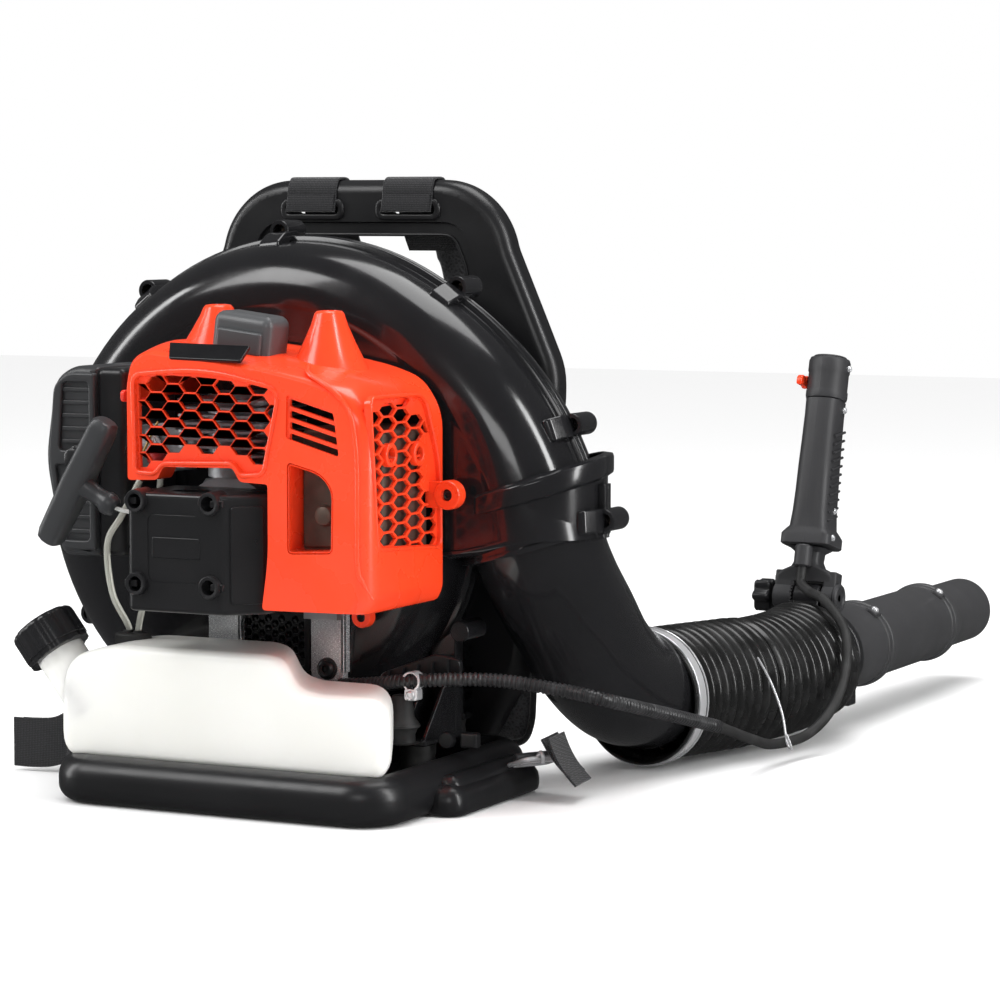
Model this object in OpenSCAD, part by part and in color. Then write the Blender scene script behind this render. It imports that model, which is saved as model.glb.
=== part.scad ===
// Backpack leaf blower: a two-stroke engine drives a centrifugal fan carried on a base and a padded
// backrest, and the air leaves through an elbow, a bellows hose and a three-piece nozzle tube.
// Origin: centre of the resting face of the base. +Z up, +Y the way the wearer faces, +X their right.

/* [Frame] */
// Width of the base rail
base_w = 330; // [324:1:336]
// Depth of the base rail, front to back
base_d = 283; // [279:1:286]
// Height of the base rail
rail_h = 40; // [38:0.5:40.5]
// Height of the top of the backrest
back_top = 521; // [516:1:530]

/* [Blower] */
// Radius of the fan housing over most of its turn
scroll_r = 244; // [242:1:246]
// Extra radius that the housing gains towards its outlet
throat = 36; // [35:0.5:37]
// Radius of the impeller
fan_r = 150; // [140:1:153]
// Number of impeller blades
blades = 15; // [9:1:18]
// Outer radius of the elbow and the hose ends
duct_r = 57; // [56:0.5:57.5]

/* [Tube] */
// Outer radius of the swivel pipe behind the hose
pipe_r = 40; // [39:0.5:41]
// Outer radius of the last tube, the nozzle
nozzle_r = 33; // [31:0.5:34]
// Wall of the tubes
pipe_wall = 2.2; // [1.8:0.1:2.6]

/* [Engine] */
// Cylinder bore
bore_d = 44; // [40:1:46]
// Piston stroke
stroke = 32; // [28:1:32]
// Number of cooling fins on the cylinder
fins = 9; // [5:1:10]

/* [Handle] */
// Lean of the control grip away from upright, in degrees
lean = 15; // [10:1:20]
// Radius of the control grip
grip_r = 17; // [16:0.5:18]

/* [Hidden] */
// Fine and normal roundness
$fn = 48;
fine = 72;
// Radial clearance of a turning fit, and of a joint that is clamped
fit = 0.05;
slip = 0.3;
// Overcut that carries a hole clear of both faces
over = 1;

// Base
base_x = 13;
base_y = -66.5;
base_r = 42;
rail_w = 26;
floor_h = 10;
foot_out = 23;
foot_y0 = -125;
foot_y1 = 38;

// Crankshaft axis, along Y
crank_x = -10;
crank_z = 223;
eng_y = -110;

// Fan housing
half_t = 62;
shell = 2.5;
cut_r = 160;
cut_a = 330;
hub_r = 62;
eye_r = 78;
flange = 6;
flange_t = 5;
duct_x = crank_x + scroll_r + throat - 60.5;
duct_z0 = 190;
collar_h = 44;
collar_r = duct_r + 4;
clip_angles = [3, 20, 54, 95, 128, 202, 245, 292];
clip_r = 8;
clip_out = 9;
screw_r = 2;

// Elbow and hose
elbow_r = 126;
elbow_head = 7;
elbow_z = duct_z0 - elbow_r;
elbow_tail = 58;
pipe_x = 286;
pipe_z = 71;
hose_c = [pipe_x, 426, pipe_z];

// Tube joints along Y
pipe_y0 = 408;
joint_y1 = 560;
joint_y2 = 752;
tip_y = 876;

// Handle, in its own axes: origin on the pivot, z up the grip
pivot = [278, 446, 128];
barrel_r = 12;
barrel_half = 32;
grip_z0 = 48;
grip_z1 = 196;
head_z = 232;
trig_y = 12;
trig_z = 118;

// Cylinder
bore_r = bore_d / 2;
throw_r = stroke / 2;
rod_len = 62;
pin_z = crank_z + throw_r + rod_len;
shaft_r = 8;
bearing_r = 17.5;
bearing_w = 9;
case_y0 = eng_y - 26;
case_y1 = eng_y + 26;

// ---------- shared functions and shapes ----------

// Points of a rectangle w by d with corners of radius r, centred
function rrect(w, d, r) = [for (c = [[1, 1, 0], [-1, 1, 90], [-1, -1, 180], [1, -1, 270]])
    for (a = [0 : 15 : 90])
        [c[0] * (w / 2 - r) + r * cos(a + c[2]), c[1] * (d / 2 - r) + r * sin(a + c[2])]];

module ring(r_out, r_in, h) {
    difference() {
        cylinder(r = r_out, h = h);
        translate([0, 0, -over]) cylinder(r = r_in, h = h + 2 * over);
    }
}

// Lays a shape drawn along Z so that its Z runs along +Y, starting at y
module along_y(x, y, z) {
    translate([x, y, z]) rotate([-90, 0, 0]) children();
}

// Lays a shape drawn along Z so that its Z runs along +X
module along_x(x, y, z) {
    translate([x, y, z]) rotate([0, 90, 0]) children();
}

// A flat outline in X and Z, given thickness t along +Y from y
module plate(y, t) {
    translate([0, y + t, 0]) rotate([90, 0, 0]) linear_extrude(t) children();
}

// One frame of directions for a ring of a swept tube, across direction d
function side(d) = let (s = cross(d, [0, 0, 1])) s / norm(s);
function heading(p, i) = let (a = p[max(i - 1, 0)], b = p[min(i + 1, len(p) - 1)]) (b - a) / norm(b - a);
function loop_pts(p, i, r, n) = let (d = heading(p, i), s = side(d), u = cross(s, d))
    [for (k = [0 : n - 1]) p[i] + r * (cos(360 * k / n) * s + sin(360 * k / n) * u)];
// A smooth route through chosen points, m steps between each pair
function route(p, m) = [for (i = [0 : len(p) - 2]) for (k = [0 : m - 1])
    let (a = p[max(i - 1, 0)], b = p[i], c = p[i + 1], d = p[min(i + 2, len(p) - 1)], t = k / m)
        0.5 * (2 * b + (c - a) * t + (2 * a - 5 * b + 4 * c - d) * t * t
            + (3 * b - a - 3 * c + d) * t * t * t), p[len(p) - 1]];

// A solid tube along route p; radius r(i) may alternate for a ribbed conduit
module sweep(p, r, rib = 0, n = 10) {
    count = len(p);
    pts = [for (i = [0 : count - 1]) each loop_pts(p, i, r + (i % 2) * rib, n)];
    sides = [for (i = [0 : count - 2]) for (k = [0 : n - 1])
        [i * n + k, i * n + (k + 1) % n, (i + 1) * n + (k + 1) % n, (i + 1) * n + k]];
    caps = [[for (k = [n - 1 : -1 : 0]) k], [for (k = [0 : n - 1]) (count - 1) * n + k]];
    polyhedron(points = pts, faces = concat(sides, caps));
}

// A hollow tube along the points i0 to i1 of route p. After the plain rings its radius alternates by rib;
// each end stops short by gap
module bellows(p, i0, i1, r, wall, rib, plain = 0, gap = 0, n = 32) {
    count = i1 - i0 + 1;
    line = [for (i = [i0 : i1]) p[i] + (i == i0 ? gap : i == i1 ? -gap : 0) * heading(p, i)];
    function rings(t) = [for (i = [0 : count - 1])
        let (d = heading(p, i + i0), s = side(d), u = cross(s, d), ribbed = i < plain ? 0 : i % 2,
            q = r - t - ribbed * rib)
        each [for (k = [0 : n - 1]) line[i] + q * (cos(360 * k / n) * s + sin(360 * k / n) * u)]];
    m = count * n;
    walls = [for (i = [0 : count - 2]) for (k = [0 : n - 1]) let (k1 = (k + 1) % n) each [
        [i * n + k, i * n + k1, (i + 1) * n + k1, (i + 1) * n + k],
        [m + i * n + k, m + (i + 1) * n + k, m + (i + 1) * n + k1, m + i * n + k1]]];
    last = (count - 1) * n;
    ends = [for (k = [0 : n - 1]) let (k1 = (k + 1) % n) each [
        [k, m + k, m + k1, k1], [last + k, last + k1, m + last + k1, m + last + k]]];
    polyhedron(points = concat(rings(0), rings(wall)), faces = concat(walls, ends));
}

// ---------- frame and harness ----------

module base_frame() {
    color([0.09, 0.09, 0.10])
    difference() {
        union() {
            translate([base_x, base_y, 0]) linear_extrude(rail_h) polygon(rrect(base_w, base_d, base_r));
            translate([base_x, (foot_y0 + foot_y1) / 2, 0]) linear_extrude(rail_h - 16)
                polygon(rrect(base_w + 2 * foot_out, foot_y1 - foot_y0, 20));
        }
        translate([base_x, base_y, floor_h]) linear_extrude(rail_h)
            polygon(rrect(base_w - 2 * rail_w, base_d - 2 * rail_w, base_r - rail_w));
        // seat of the backrest foot
        translate([-seat_w / 2, back_y - 0.2, floor_h + 8]) cube([seat_w, back_t + 20, rail_h]);
    }
}

// Backrest moulding: its front face, thickness and half widths going up
back_y = 78;
back_t = 25;
seat_w = 250;
pad_y = back_y + back_t;
pad_t = 25;
function mirrored(p) = concat(p, [for (i = [len(p) - 1 : -1 : 0]) [-p[i][0], p[i][1]]]);
function arc(cx, cz, r, a0, a1, n = 8) = [for (k = [0 : n]) let (a = a0 + (a1 - a0) * k / n)
    [cx + r * cos(a), cz + r * sin(a)]];
frame_edge = concat(
    [[-seat_w / 2 + 12, floor_h + 8.5], [-seat_w / 2 + 1, floor_h + 20], [-158, 90], [-175, 250],
        [-191, 325], [-191, 358], [-172, 402]],
    arc(-75, back_top - 72, 72, 170, 90));
back_skin = 5;
slot_z = 495;
slot_w = 52;
slot_x = [-49, 47];
bar_h = 47;

module backrest_frame() {
    color([0.08, 0.08, 0.09]) difference() {
        plate(back_y, back_t) difference() {
            polygon(mirrored(frame_edge));
            // carrying handle opening under the top bar
            polygon(mirrored([[-78, 392], [-104, 410], [-106, 440], [-92, back_top - bar_h]]));
            for (x = slot_x) translate([x, slot_z]) square([slot_w, 7], center = true);
            // cooling windows behind the fan
            for (s = [-1, 1]) translate([s * 75, 95]) square([70, 60], center = true);
        }
        back_hollow();
    }
}

// Hollow in the back of the moulding, closed by the pad
module back_hollow() {
    plate(back_y + back_skin, back_t) polygon(mirrored([[-148, 135], [-170, 330], [-164, 366]]));
}

pad_edge = [[-100, 16], [-150, 24], [-158, 44], [-161, 120], [-168, 250], [-168, 330], [-158, 362],
    [-128, 386]];

module back_pad() {
    color([0.12, 0.12, 0.13]) plate(pad_y, pad_t) polygon(mirrored(pad_edge));
}

// Padded part of each shoulder strap, lying against the pad
strap_edge = [[-34, 482], [-86, 482], [-110, 440], [-122, 380], [-126, 300], [-116, 215], [-96, 160],
    [-62, 160], [-68, 220], [-76, 300], [-70, 370], [-52, 430]];
strap_t = 14;

module shoulder_straps() {
    color([0.10, 0.10, 0.11])
    for (s = [0, 1]) mirror([s, 0, 0]) plate(pad_y + pad_t, strap_t) polygon(strap_edge);
}

web_w = 50;
web_t = 1.8;

// Loop of webbing over the top bar, from the slot at the front to the strap behind
module top_loop(x) {
    y0 = back_y - web_t;
    y1 = pad_y + web_t;
    y2 = pad_y + pad_t;
    translate([x - web_w / 2, 0, 0]) rotate([90, 0, 90]) linear_extrude(web_w) difference() {
        polygon([[y0, slot_z - 1], [y0, back_top + web_t], [y1, back_top + web_t], [y1, slot_z],
            [y2 - 0.3, 458], [y2 - 2, 458], [pad_y, slot_z - 1]]);
        translate([back_y, slot_z + 1]) square([back_t, back_top - slot_z - 1]);
    }
}

// Lower webbing from a side of the base to the end of the padded strap
module lower_web(s) {
    x = s * 79;
    y1 = pad_y + pad_t;
    translate([x - 15, 0, 0]) rotate([90, 0, 90]) linear_extrude(30)
        polygon([[y1 + 2, 159], [y1 + 4, 159], [y1 + 6, 90], [y1 + 6, 30], [y1 + 4, 30], [y1 + 4, 90]]);
}

module strap_webbing() {
    color([0.07, 0.07, 0.08]) {
        for (x = slot_x) top_loop(x);
        for (s = [-1, 1]) lower_web(s);
        // adjuster tail that hangs from the right buckle
        translate(tail_at) rotate([0, 0, buckle_turn]) rotate([0, 25, 0])
            translate([-tail_l / 2, -end_w / 2, 0]) cube([tail_l, end_w, web_t]);
        // end of the left strap, standing on edge beside the tank
        translate([left_end_x, -78, 4 + end_w / 2]) cube([left_end_l, web_t, end_w], center = true);
    }
}

end_w = 44;
left_end_l = 84;
left_end_x = base_x - base_w / 2 - 72;
tail_at = [232, 0, 13];
tail_l = 46;
wire_r = 2.2;
buckle_turn = -32;

module strap_buckles() {
    color([0.8, 0.8, 0.82]) {
        translate([208, -1, 29.5]) rotate([0, 0, buckle_turn]) wire_frame(34, end_w);
        translate([base_x - base_w / 2 - 16, -74, 43]) wire_frame(26, end_w);
    }
}

// Rectangular wire link with a cross bar
module wire_frame(l, w) {
    difference() {
        cube([l, w, 2 * wire_r], center = true);
        cube([l - 4 * wire_r, w - 4 * wire_r, 3 * wire_r], center = true);
    }
    cube([2 * wire_r, w, 2 * wire_r], center = true);
}

mount_xy = [[128, -58], [-108, -58]];
mount_r = 16;
mount_top = 48;
// low pucks on the rear rail
puck_xy = [[100, 63], [-100, 63]];
puck_top = 52;

module vibration_mounts() {
    color([0.13, 0.13, 0.13])
    for (p = mount_xy) translate([p[0], p[1], floor_h]) {
        cylinder(r1 = mount_r, r2 = mount_r - 3, h = mount_top - floor_h - 4);
        translate([0, 0, mount_top - floor_h - 4]) cylinder(r = mount_r - 1, h = 4);
    }
    color([0.13, 0.13, 0.13])
    for (p = puck_xy) translate([p[0], p[1], rail_h]) cylinder(r = 10, h = puck_top - rail_h);
}

// ---------- fan housing ----------

// Radius of the housing at angle a, measured from +X towards +Z about the crankshaft
function travelled(a) = (cut_a - a + 720) % 360;
function scroll(a) = let (u = travelled(a))
    u < 150 ? cut_r + (scroll_r - cut_r) * pow(u / 150, 1.3)
    : u < 270 ? scroll_r
    : u <= 330 ? scroll_r + throat * pow((u - 270) / 60, 1.5)
    : u < 338 ? scroll_r + throat - (scroll_r + throat - cut_r) * (u - 330) / 8
    : cut_r;
function corner(a) = scroll(a) > scroll_r ? 45 + (scroll(a) - scroll_r) * 0.3 : 45;

// Section of one half at angle a: [radius, distance behind the front face]
function section(a, inner) = let (r = scroll(a), c = corner(a)) concat(
    [[inner, 0]],
    [for (k = [0 : 6]) [r - c + c * sin(15 * k), c - c * cos(15 * k)]],
    [[r, half_t - flange_t], [r + flange, half_t - flange_t], [r + flange, half_t - 0.05],
        [r - shell, half_t - 0.05]],
    [for (k = [6 : -1 : 0]) [r - c + (c - shell) * sin(15 * k), c - (c - shell) * cos(15 * k)]],
    [[inner, shell]]);

// Front half of the housing as one closed ring of sections
module scroll_half(inner) {
    angles = [for (a = [0 : 6 : 321]) a, 330, 345, 351, 353, 356, 359];
    count = len(angles);
    sections = [for (a = angles) section(a, inner)];
    n = len(sections[0]);
    pts = [for (i = [0 : count - 1]) for (q = sections[i])
        [crank_x + q[0] * cos(angles[i]), q[1] - half_t, crank_z + q[0] * sin(angles[i])]];
    faces = [for (i = [0 : count - 1]) for (k = [0 : n - 1])
        let (i1 = (i + 1) % count, k1 = (k + 1) % n) each [
            [i * n + k, i1 * n + k, i * n + k1], [i1 * n + k, i1 * n + k1, i * n + k1]]];
    polyhedron(points = pts, faces = faces);
}

module clip_boss(a) {
    r = scroll(a) + clip_out;
    along_y(crank_x + r * cos(a), -13, crank_z + r * sin(a)) difference() {
        cylinder(r = clip_r, h = 12.6);
        translate([0, 0, -over]) cylinder(r = screw_r, h = 13 + 2 * over);
    }
}

// Round outlet and its thick collar, one half
module outlet_half() {
    difference() {
        translate([duct_x, 0, duct_z0]) cylinder(r = collar_r + 4, h = collar_h, $fn = fine);
        translate([0, collar_r + 10 - 0.3, 0]) cube([2000, 2 * (collar_r + 10), 2000], center = true);
    }
}

module volute_half(inner) {
    difference() {
        union() {
            scroll_half(inner);
            outlet_half();
            for (a = clip_angles) clip_boss(a);
        }
        translate([duct_x, 0, duct_z0 - over]) cylinder(r = duct_r, h = collar_h + 2 * over, $fn = fine);
    }
}

// Flat foot of a leg that carries the housing
module foot_pad(x, y0, y1, z) {
    translate([x - 14, y0, z]) cube([28, y1 - y0, 5]);
}

// Leg that stands against a flat face of the housing
module face_leg(x, y, z, top) {
    translate([x - 9, y, z]) cube([18, 5, top - z]);
}

module volute_front() {
    color([0.05, 0.05, 0.055]) {
        volute_half(hub_r);
        // the right leg hangs from the seam, the left one from the flat face
        plate(-12, 11.6) polygon([[118, mount_top], [138, mount_top], [138, 138], [118, 122]]);
        foot_pad(mount_xy[0][0], -72, -0.4, mount_top);
        face_leg(mount_xy[1][0], -half_t - 4, mount_top, 122);
        foot_pad(mount_xy[1][0], -72, -half_t + 1, mount_top);
    }
}

module volute_rear() {
    color([0.05, 0.05, 0.055]) {
        mirror([0, 1, 0]) volute_half(eye_r);
        for (p = puck_xy) {
            face_leg(p[0], half_t - 1, puck_top, p[0] > 0 ? 190 : 126);
            foot_pad(p[0], half_t - 9, half_t + 10, puck_top);
        }
    }
}

module volute_screws() {
    color([0.72, 0.73, 0.75])
    for (a = clip_angles) let (r = scroll(a) + clip_out)
        along_y(crank_x + r * cos(a), -17, crank_z + r * sin(a)) {
            cylinder(r = 4.2, h = 4);
            cylinder(r = screw_r, h = 30);
        }
}

module intake_screen() {
    color([0.10, 0.10, 0.10]) along_y(crank_x, half_t, crank_z) {
        linear_extrude(3) {
            for (r = [22 : 16 : eye_r + 6]) difference() {
                circle(r = r);
                circle(r = r - 3);
            }
            for (k = [0 : 5]) rotate(60 * k) translate([20.5, -1.5]) square([eye_r - 16, 3]);
        }
    }
}

screen_x = -12;
screen_z = 130;

module cooling_screen() {
    color([0.10, 0.10, 0.10]) plate(-half_t - 4, 3) difference() {
        translate([screen_x, screen_z]) square([74, 46], center = true);
        for (i = [-3 : 3]) for (j = [-1.5 : 1 : 1.5])
            translate([screen_x + 9.6 * i, screen_z + 10 * j + (i % 2 == 0 ? 0 : 5) - 2.5])
                circle(r = 5, $fn = 6);
    }
}

blade_y0 = -36;
blade_y1 = 16;

module impeller() {
    color([0.16, 0.16, 0.17])
    translate([0, blade_y0, 0]) along_y(crank_x, 0, crank_z) difference() {
        union() {
            cylinder(r = fan_r, h = 3);
            cylinder(r = 22, h = 46);
            for (k = [0 : blades - 1]) rotate([0, 0, 360 * k / blades]) translate([46, 0, 2.5])
                rotate([0, 0, -28]) cube([(fan_r - 52) * 0.97, 3, blade_y1 - blade_y0 - 3]);
        }
        translate([0, 0, -over]) cylinder(r = shaft_r, h = 60);
    }
}

module fan_nut() {
    color([0.7, 0.7, 0.72]) along_y(crank_x, blade_y0 + 46, crank_z) difference() {
        cylinder(r = 13, h = 8, $fn = 6);
        translate([0, 0, -over]) cylinder(r = shaft_r, h = 12);
    }
}

// ---------- elbow, hose and tubes ----------

elbow_end = elbow_r + elbow_tail;
hose_dir = [sin(elbow_head), cos(elbow_head), 0];
hose_a = [duct_x, 0, elbow_z] + elbow_end * hose_dir;

module elbow() {
    color([0.05, 0.05, 0.055]) translate([duct_x, 0, duct_z0 + 20]) rotate([0, 0, -elbow_head]) {
        translate([0, 0, -20]) ring(duct_r - slip, duct_r - 3, 20 + 14, $fn = fine);
        translate([0, elbow_r, -20]) rotate([0, 90, 0]) intersection() {
            rotate_extrude($fn = fine) translate([elbow_r, 0]) difference() {
                circle(r = duct_r - slip);
                circle(r = duct_r - 3);
            }
            translate([0, -2 * elbow_r, -elbow_r]) cube(2 * elbow_r);
        }
        along_y(0, elbow_r, -20 - elbow_r) ring(duct_r - slip, duct_r - 3, elbow_tail, $fn = fine);
    }
}

module elbow_clamp() {
    color([0.78, 0.79, 0.80]) translate([duct_x, 0, 0]) rotate([0, 0, -elbow_head])
        along_y(0, elbow_end - 12, elbow_z) {
            ring(duct_r + 5, duct_r + 3.3, 10);
            translate([duct_r + 4, -7, 0]) cube([9, 14, 10]);
        }
}

// Centre line of the hose: a straight cuff over the elbow, then one smooth bend to the pipe
hose_cuff = 4;
hose_steps = 40;
hose_bend = [hose_a, hose_a + 85 * hose_dir, hose_c - [0, 85, 13], hose_c];
function bezier(p, t) = pow(1 - t, 3) * p[0] + 3 * pow(1 - t, 2) * t * p[1]
    + 3 * (1 - t) * pow(t, 2) * p[2] + pow(t, 3) * p[3];
hose_line = concat([for (i = [-hose_cuff : -1]) hose_a + 4 * i * hose_dir],
    [for (i = [0 : hose_steps]) bezier(hose_bend, i / hose_steps)]);
hose_mid = hose_cuff + 20;
hose_last = hose_cuff + hose_steps - 1;

module hose_rear() {
    color([0.05, 0.05, 0.05]) bellows(hose_line, 0, hose_mid, duct_r + 3, 2.4, 3, plain = hose_cuff + 2);
}

module hose_mid_ring() {
    color([0.06, 0.06, 0.06]) bellows(hose_line, hose_mid, hose_mid + 2, duct_r + 2, 3, 0, gap = 0.5);
}

module hose_front() {
    color([0.05, 0.05, 0.05]) bellows(hose_line, hose_mid + 2, hose_last, duct_r + 1, 2.4, 3);
}

module hose_end_clamp() {
    color([0.05, 0.05, 0.05]) along_y(pipe_x, pipe_y0 + 4, pipe_z) {
        ring(duct_r - 6, pipe_r + 0.1, 18, $fn = fine);
    }
}

module pipe_length(r, y0, y1) {
    along_y(pipe_x, y0, pipe_z) ring(r, r - pipe_wall, y1 - y0, $fn = fine);
}

module joint_ring(r, y) {
    along_y(pipe_x, y, pipe_z) ring(r + 2.5, r - 0.1, 5);
}

module swivel_pipe() {
    color([0.13, 0.13, 0.135]) {
        pipe_length(pipe_r, pipe_y0, joint_y1);
        joint_ring(pipe_r, joint_y1 - 5);
    }
}

module middle_pipe() {
    color([0.13, 0.13, 0.135]) {
        pipe_length(pipe_r - pipe_wall - fit, joint_y1 - 30, joint_y2);
        joint_ring(pipe_r - pipe_wall, joint_y2 - 5);
    }
}

module nozzle_pipe() {
    r = pipe_r - 2 * pipe_wall - 2 * fit;
    color([0.13, 0.13, 0.135]) along_y(pipe_x, joint_y2 - 30, pipe_z) rotate_extrude($fn = fine)
        polygon([[r - pipe_wall, 0], [r, 0], [r, 38], [nozzle_r, 60], [nozzle_r, tip_y - joint_y2 + 30],
            [nozzle_r - pipe_wall, tip_y - joint_y2 + 30], [nozzle_r - pipe_wall, 60], [r - pipe_wall, 38]]);
}

module pipe_joint_bolts() {
    color([0.75, 0.76, 0.78])
    for (j = [[joint_y1, pipe_r], [joint_y2, pipe_r - pipe_wall]]) for (a = [35, 215])
        translate([pipe_x, j[0] - 14, pipe_z]) rotate([0, a, 0]) translate([0, 0, j[1]]) {
            cylinder(r = 3.2, h = 3);
            translate([0, 0, 3]) sphere(r = 2.9);
        }
}

// ---------- engine ----------

module crankcase() {
    color([0.66, 0.67, 0.69]) {
        difference() {
            along_y(crank_x, case_y0, crank_z) cylinder(r = 50, h = case_y1 - case_y0);
            along_y(crank_x, case_y0 + 10, crank_z) cylinder(r = 42, h = case_y1 - case_y0 - 20);
            along_y(crank_x, case_y0 - over, crank_z) cylinder(r = bearing_r, h = bearing_w + over);
            along_y(crank_x, case_y1 - bearing_w, crank_z) cylinder(r = bearing_r, h = bearing_w + over);
            along_y(crank_x, case_y0 - over, crank_z) cylinder(r = shaft_r + 3, h = 200);
            translate([crank_x, eng_y, crank_z + 20]) cylinder(r = bore_r + 4 + fit, h = 60);
            translate([crank_x - 50, case_y0 - over, cyl_z0]) cube([100, 60, 10]);
        }
        // lugs that the bracket legs are screwed to
        for (x = leg_x) translate([x, case_y1, leg_top - 8]) cube([leg_w, leg_y - case_y1, 32]);
        // flange that bolts the engine to the fan housing
        difference() {
            along_y(crank_x, case_y1, crank_z) ring(68, bearing_r + 2, -half_t - case_y1);
            translate([crank_x - 70, case_y1 - over, cyl_z0 - 6]) cube([140, 40, 60]);
        }
    }
}

module crank_bearings() {
    color([0.75, 0.76, 0.78])
    for (y = [case_y0, case_y1 - bearing_w]) along_y(crank_x, y, crank_z) {
        ring(bearing_r, 14.5, bearing_w);
        ring(11, shaft_r + fit, bearing_w);
        translate([0, 0, 1]) ring(14.5, 11, bearing_w - 2);
    }
}

module crank_web(y) {
    along_y(crank_x, y, crank_z) cylinder(r = 28, h = 8);
}

module crankshaft() {
    color([0.6, 0.61, 0.63]) {
        along_y(crank_x, case_y0 - 26, crank_z) cylinder(r = shaft_r, h = 26 + 12 + 2);
        crank_web(eng_y - 14);
        along_y(crank_x, eng_y - 6, crank_z + throw_r) cylinder(r = 7, h = 2.4);
        crank_web(eng_y + 5);
        along_y(crank_x, eng_y + 12, crank_z) cylinder(r = shaft_r, h = blade_y0 + 60 - eng_y - 12);
    }
}

module flywheel() {
    color([0.62, 0.63, 0.66]) along_y(crank_x, case_y0 - 24, crank_z) difference() {
        union() {
            cylinder(r = 37, h = 16);
            for (k = [0 : 11]) rotate([0, 0, 30 * k]) translate([20, -1, -5]) cube([15, 2, 5.5]);
            translate([0, 0, -12]) ring(17, 14, 12.5);
        }
        translate([0, 0, -over - 12]) cylinder(r = shaft_r, h = 40);
    }
}

fin_w = 84;
cyl_z0 = crank_z + 49.4;
head_z1 = pin_z + 48;

module cylinder_block() {
    color([0.70, 0.71, 0.73]) difference() {
        union() {
            translate([crank_x, eng_y, cyl_z0]) cylinder(r = bore_r + 7, h = head_z1 - cyl_z0 - 6);
            translate([crank_x, eng_y, cyl_z0 - 20]) cylinder(r = bore_r + 4, h = 24);
            for (k = [0 : fins - 1]) translate([crank_x, eng_y, cyl_z0 + 12 + 6.5 * k])
                linear_extrude(2) polygon(rrect(fin_w, fin_w, 10));
            // inlet boss towards the carburettor and exhaust boss towards the muffler
            translate([crank_x - 46, eng_y - 15, cyl_z0 + 10]) cube([30, 30, 24]);
            translate([crank_x + 16, eng_y - 17, cyl_z0 + 10]) cube([30, 34, 26]);
        }
        translate([crank_x, eng_y, cyl_z0 - 21]) cylinder(r = bore_r, h = pin_z + 16 - cyl_z0 + 21);
        translate([crank_x, eng_y, pin_z]) cylinder(r = 5, h = 100);
        along_x(crank_x - 60, eng_y, cyl_z0 + 22) cylinder(r = 8, h = 60);
        along_x(crank_x, eng_y, cyl_z0 + 22) cylinder(r = 8, h = 60);
    }
}

module piston() {
    color([0.8, 0.8, 0.8]) translate([crank_x, eng_y, pin_z]) difference() {
        translate([0, 0, -12]) cylinder(r = bore_r - fit, h = 26);
        translate([0, 0, -13]) cylinder(r = bore_r - 3.5, h = 22);
        along_y(0, -bore_r - over, 0) cylinder(r = 4, h = bore_d + 2 * over);
    }
}

module wrist_pin() {
    color([0.7, 0.7, 0.72]) along_y(crank_x, eng_y - bore_r + 3, pin_z) cylinder(r = 4, h = bore_d - 6);
}

module connecting_rod() {
    color([0.5, 0.51, 0.53]) along_y(crank_x, eng_y - 3, pin_z) difference() {
        union() {
            cylinder(r = 7, h = 6);
            translate([0, rod_len, 0]) cylinder(r = 10.5, h = 6);
            translate([-4, 0, 0]) cube([8, rod_len, 6]);
        }
        translate([0, 0, -over]) cylinder(r = 4 + fit, h = 8);
        translate([0, rod_len, -over]) cylinder(r = 7.3, h = 8);
    }
}

module spark_plug() {
    translate([crank_x, eng_y, pin_z + 20]) {
        color([0.85, 0.85, 0.85]) cylinder(r = 4.9, h = 30);
        color([0.7, 0.7, 0.7]) translate([0, 0, 28.2]) cylinder(r = 10, h = 7, $fn = 6);
        color([0.1, 0.1, 0.1]) translate([0, 0, 35.2]) cylinder(r = 9, h = 12);
    }
}

module ignition_coil() {
    color([0.15, 0.15, 0.16]) translate([crank_x - 14, case_y0 - 22, box_z0 + 3.4]) {
        cube([28, 12, 12]);
        translate([4, 2, 12]) cube([5, 8, 2.6]);
        translate([19, 2, 12]) cube([5, 8, 2.6]);
    }
}

muf_x = 72;
muf_w = 76;
muf_t = 2;

module muffler() {
    color([0.35, 0.33, 0.31]) difference() {
        union() {
            translate([muf_x, eng_y - 46, cyl_z0 - 62]) cube([muf_w, 82, 108]);
            translate([crank_x + 46.1, eng_y - 17, cyl_z0 + 10]) cube([muf_x - crank_x - 45, 34, 26]);
            along_y(muf_x + 36, eng_y - 52, cyl_z0 - 30) cylinder(r = 9, h = 10);
        }
        // hollow can, open to the exhaust port and to the outlet pipe
        translate([muf_x + muf_t, eng_y - 46 + muf_t, cyl_z0 - 62 + muf_t])
            cube([muf_w - 2 * muf_t, 82 - 2 * muf_t, 108 - 2 * muf_t]);
        along_x(crank_x + 45, eng_y, cyl_z0 + 22) cylinder(r = 8, h = muf_x - crank_x - 40);
        along_y(muf_x + 36, eng_y - 54, cyl_z0 - 30) cylinder(r = 6, h = 20);
    }
}

// ---------- starter ----------

box_x0 = -59;
box_x1 = 62;
box_y0 = -215;
box_y1 = -138;
box_z0 = 167;
box_z1 = 265;
bevel = 28;
rope_z = 246;
sleeve_x = [-48, 22];
sleeve_z = [190, 258];

function box_outline(t) = [[box_x0 + t, box_y0 + t], [box_x1 - bevel - t / 2, box_y0 + t],
    [box_x1 - t, box_y0 + bevel + t / 2], [box_x1 - t, box_y1 + (t > 0 ? over : 0)],
    [box_x0 + t, box_y1 + (t > 0 ? over : 0)]];

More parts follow.
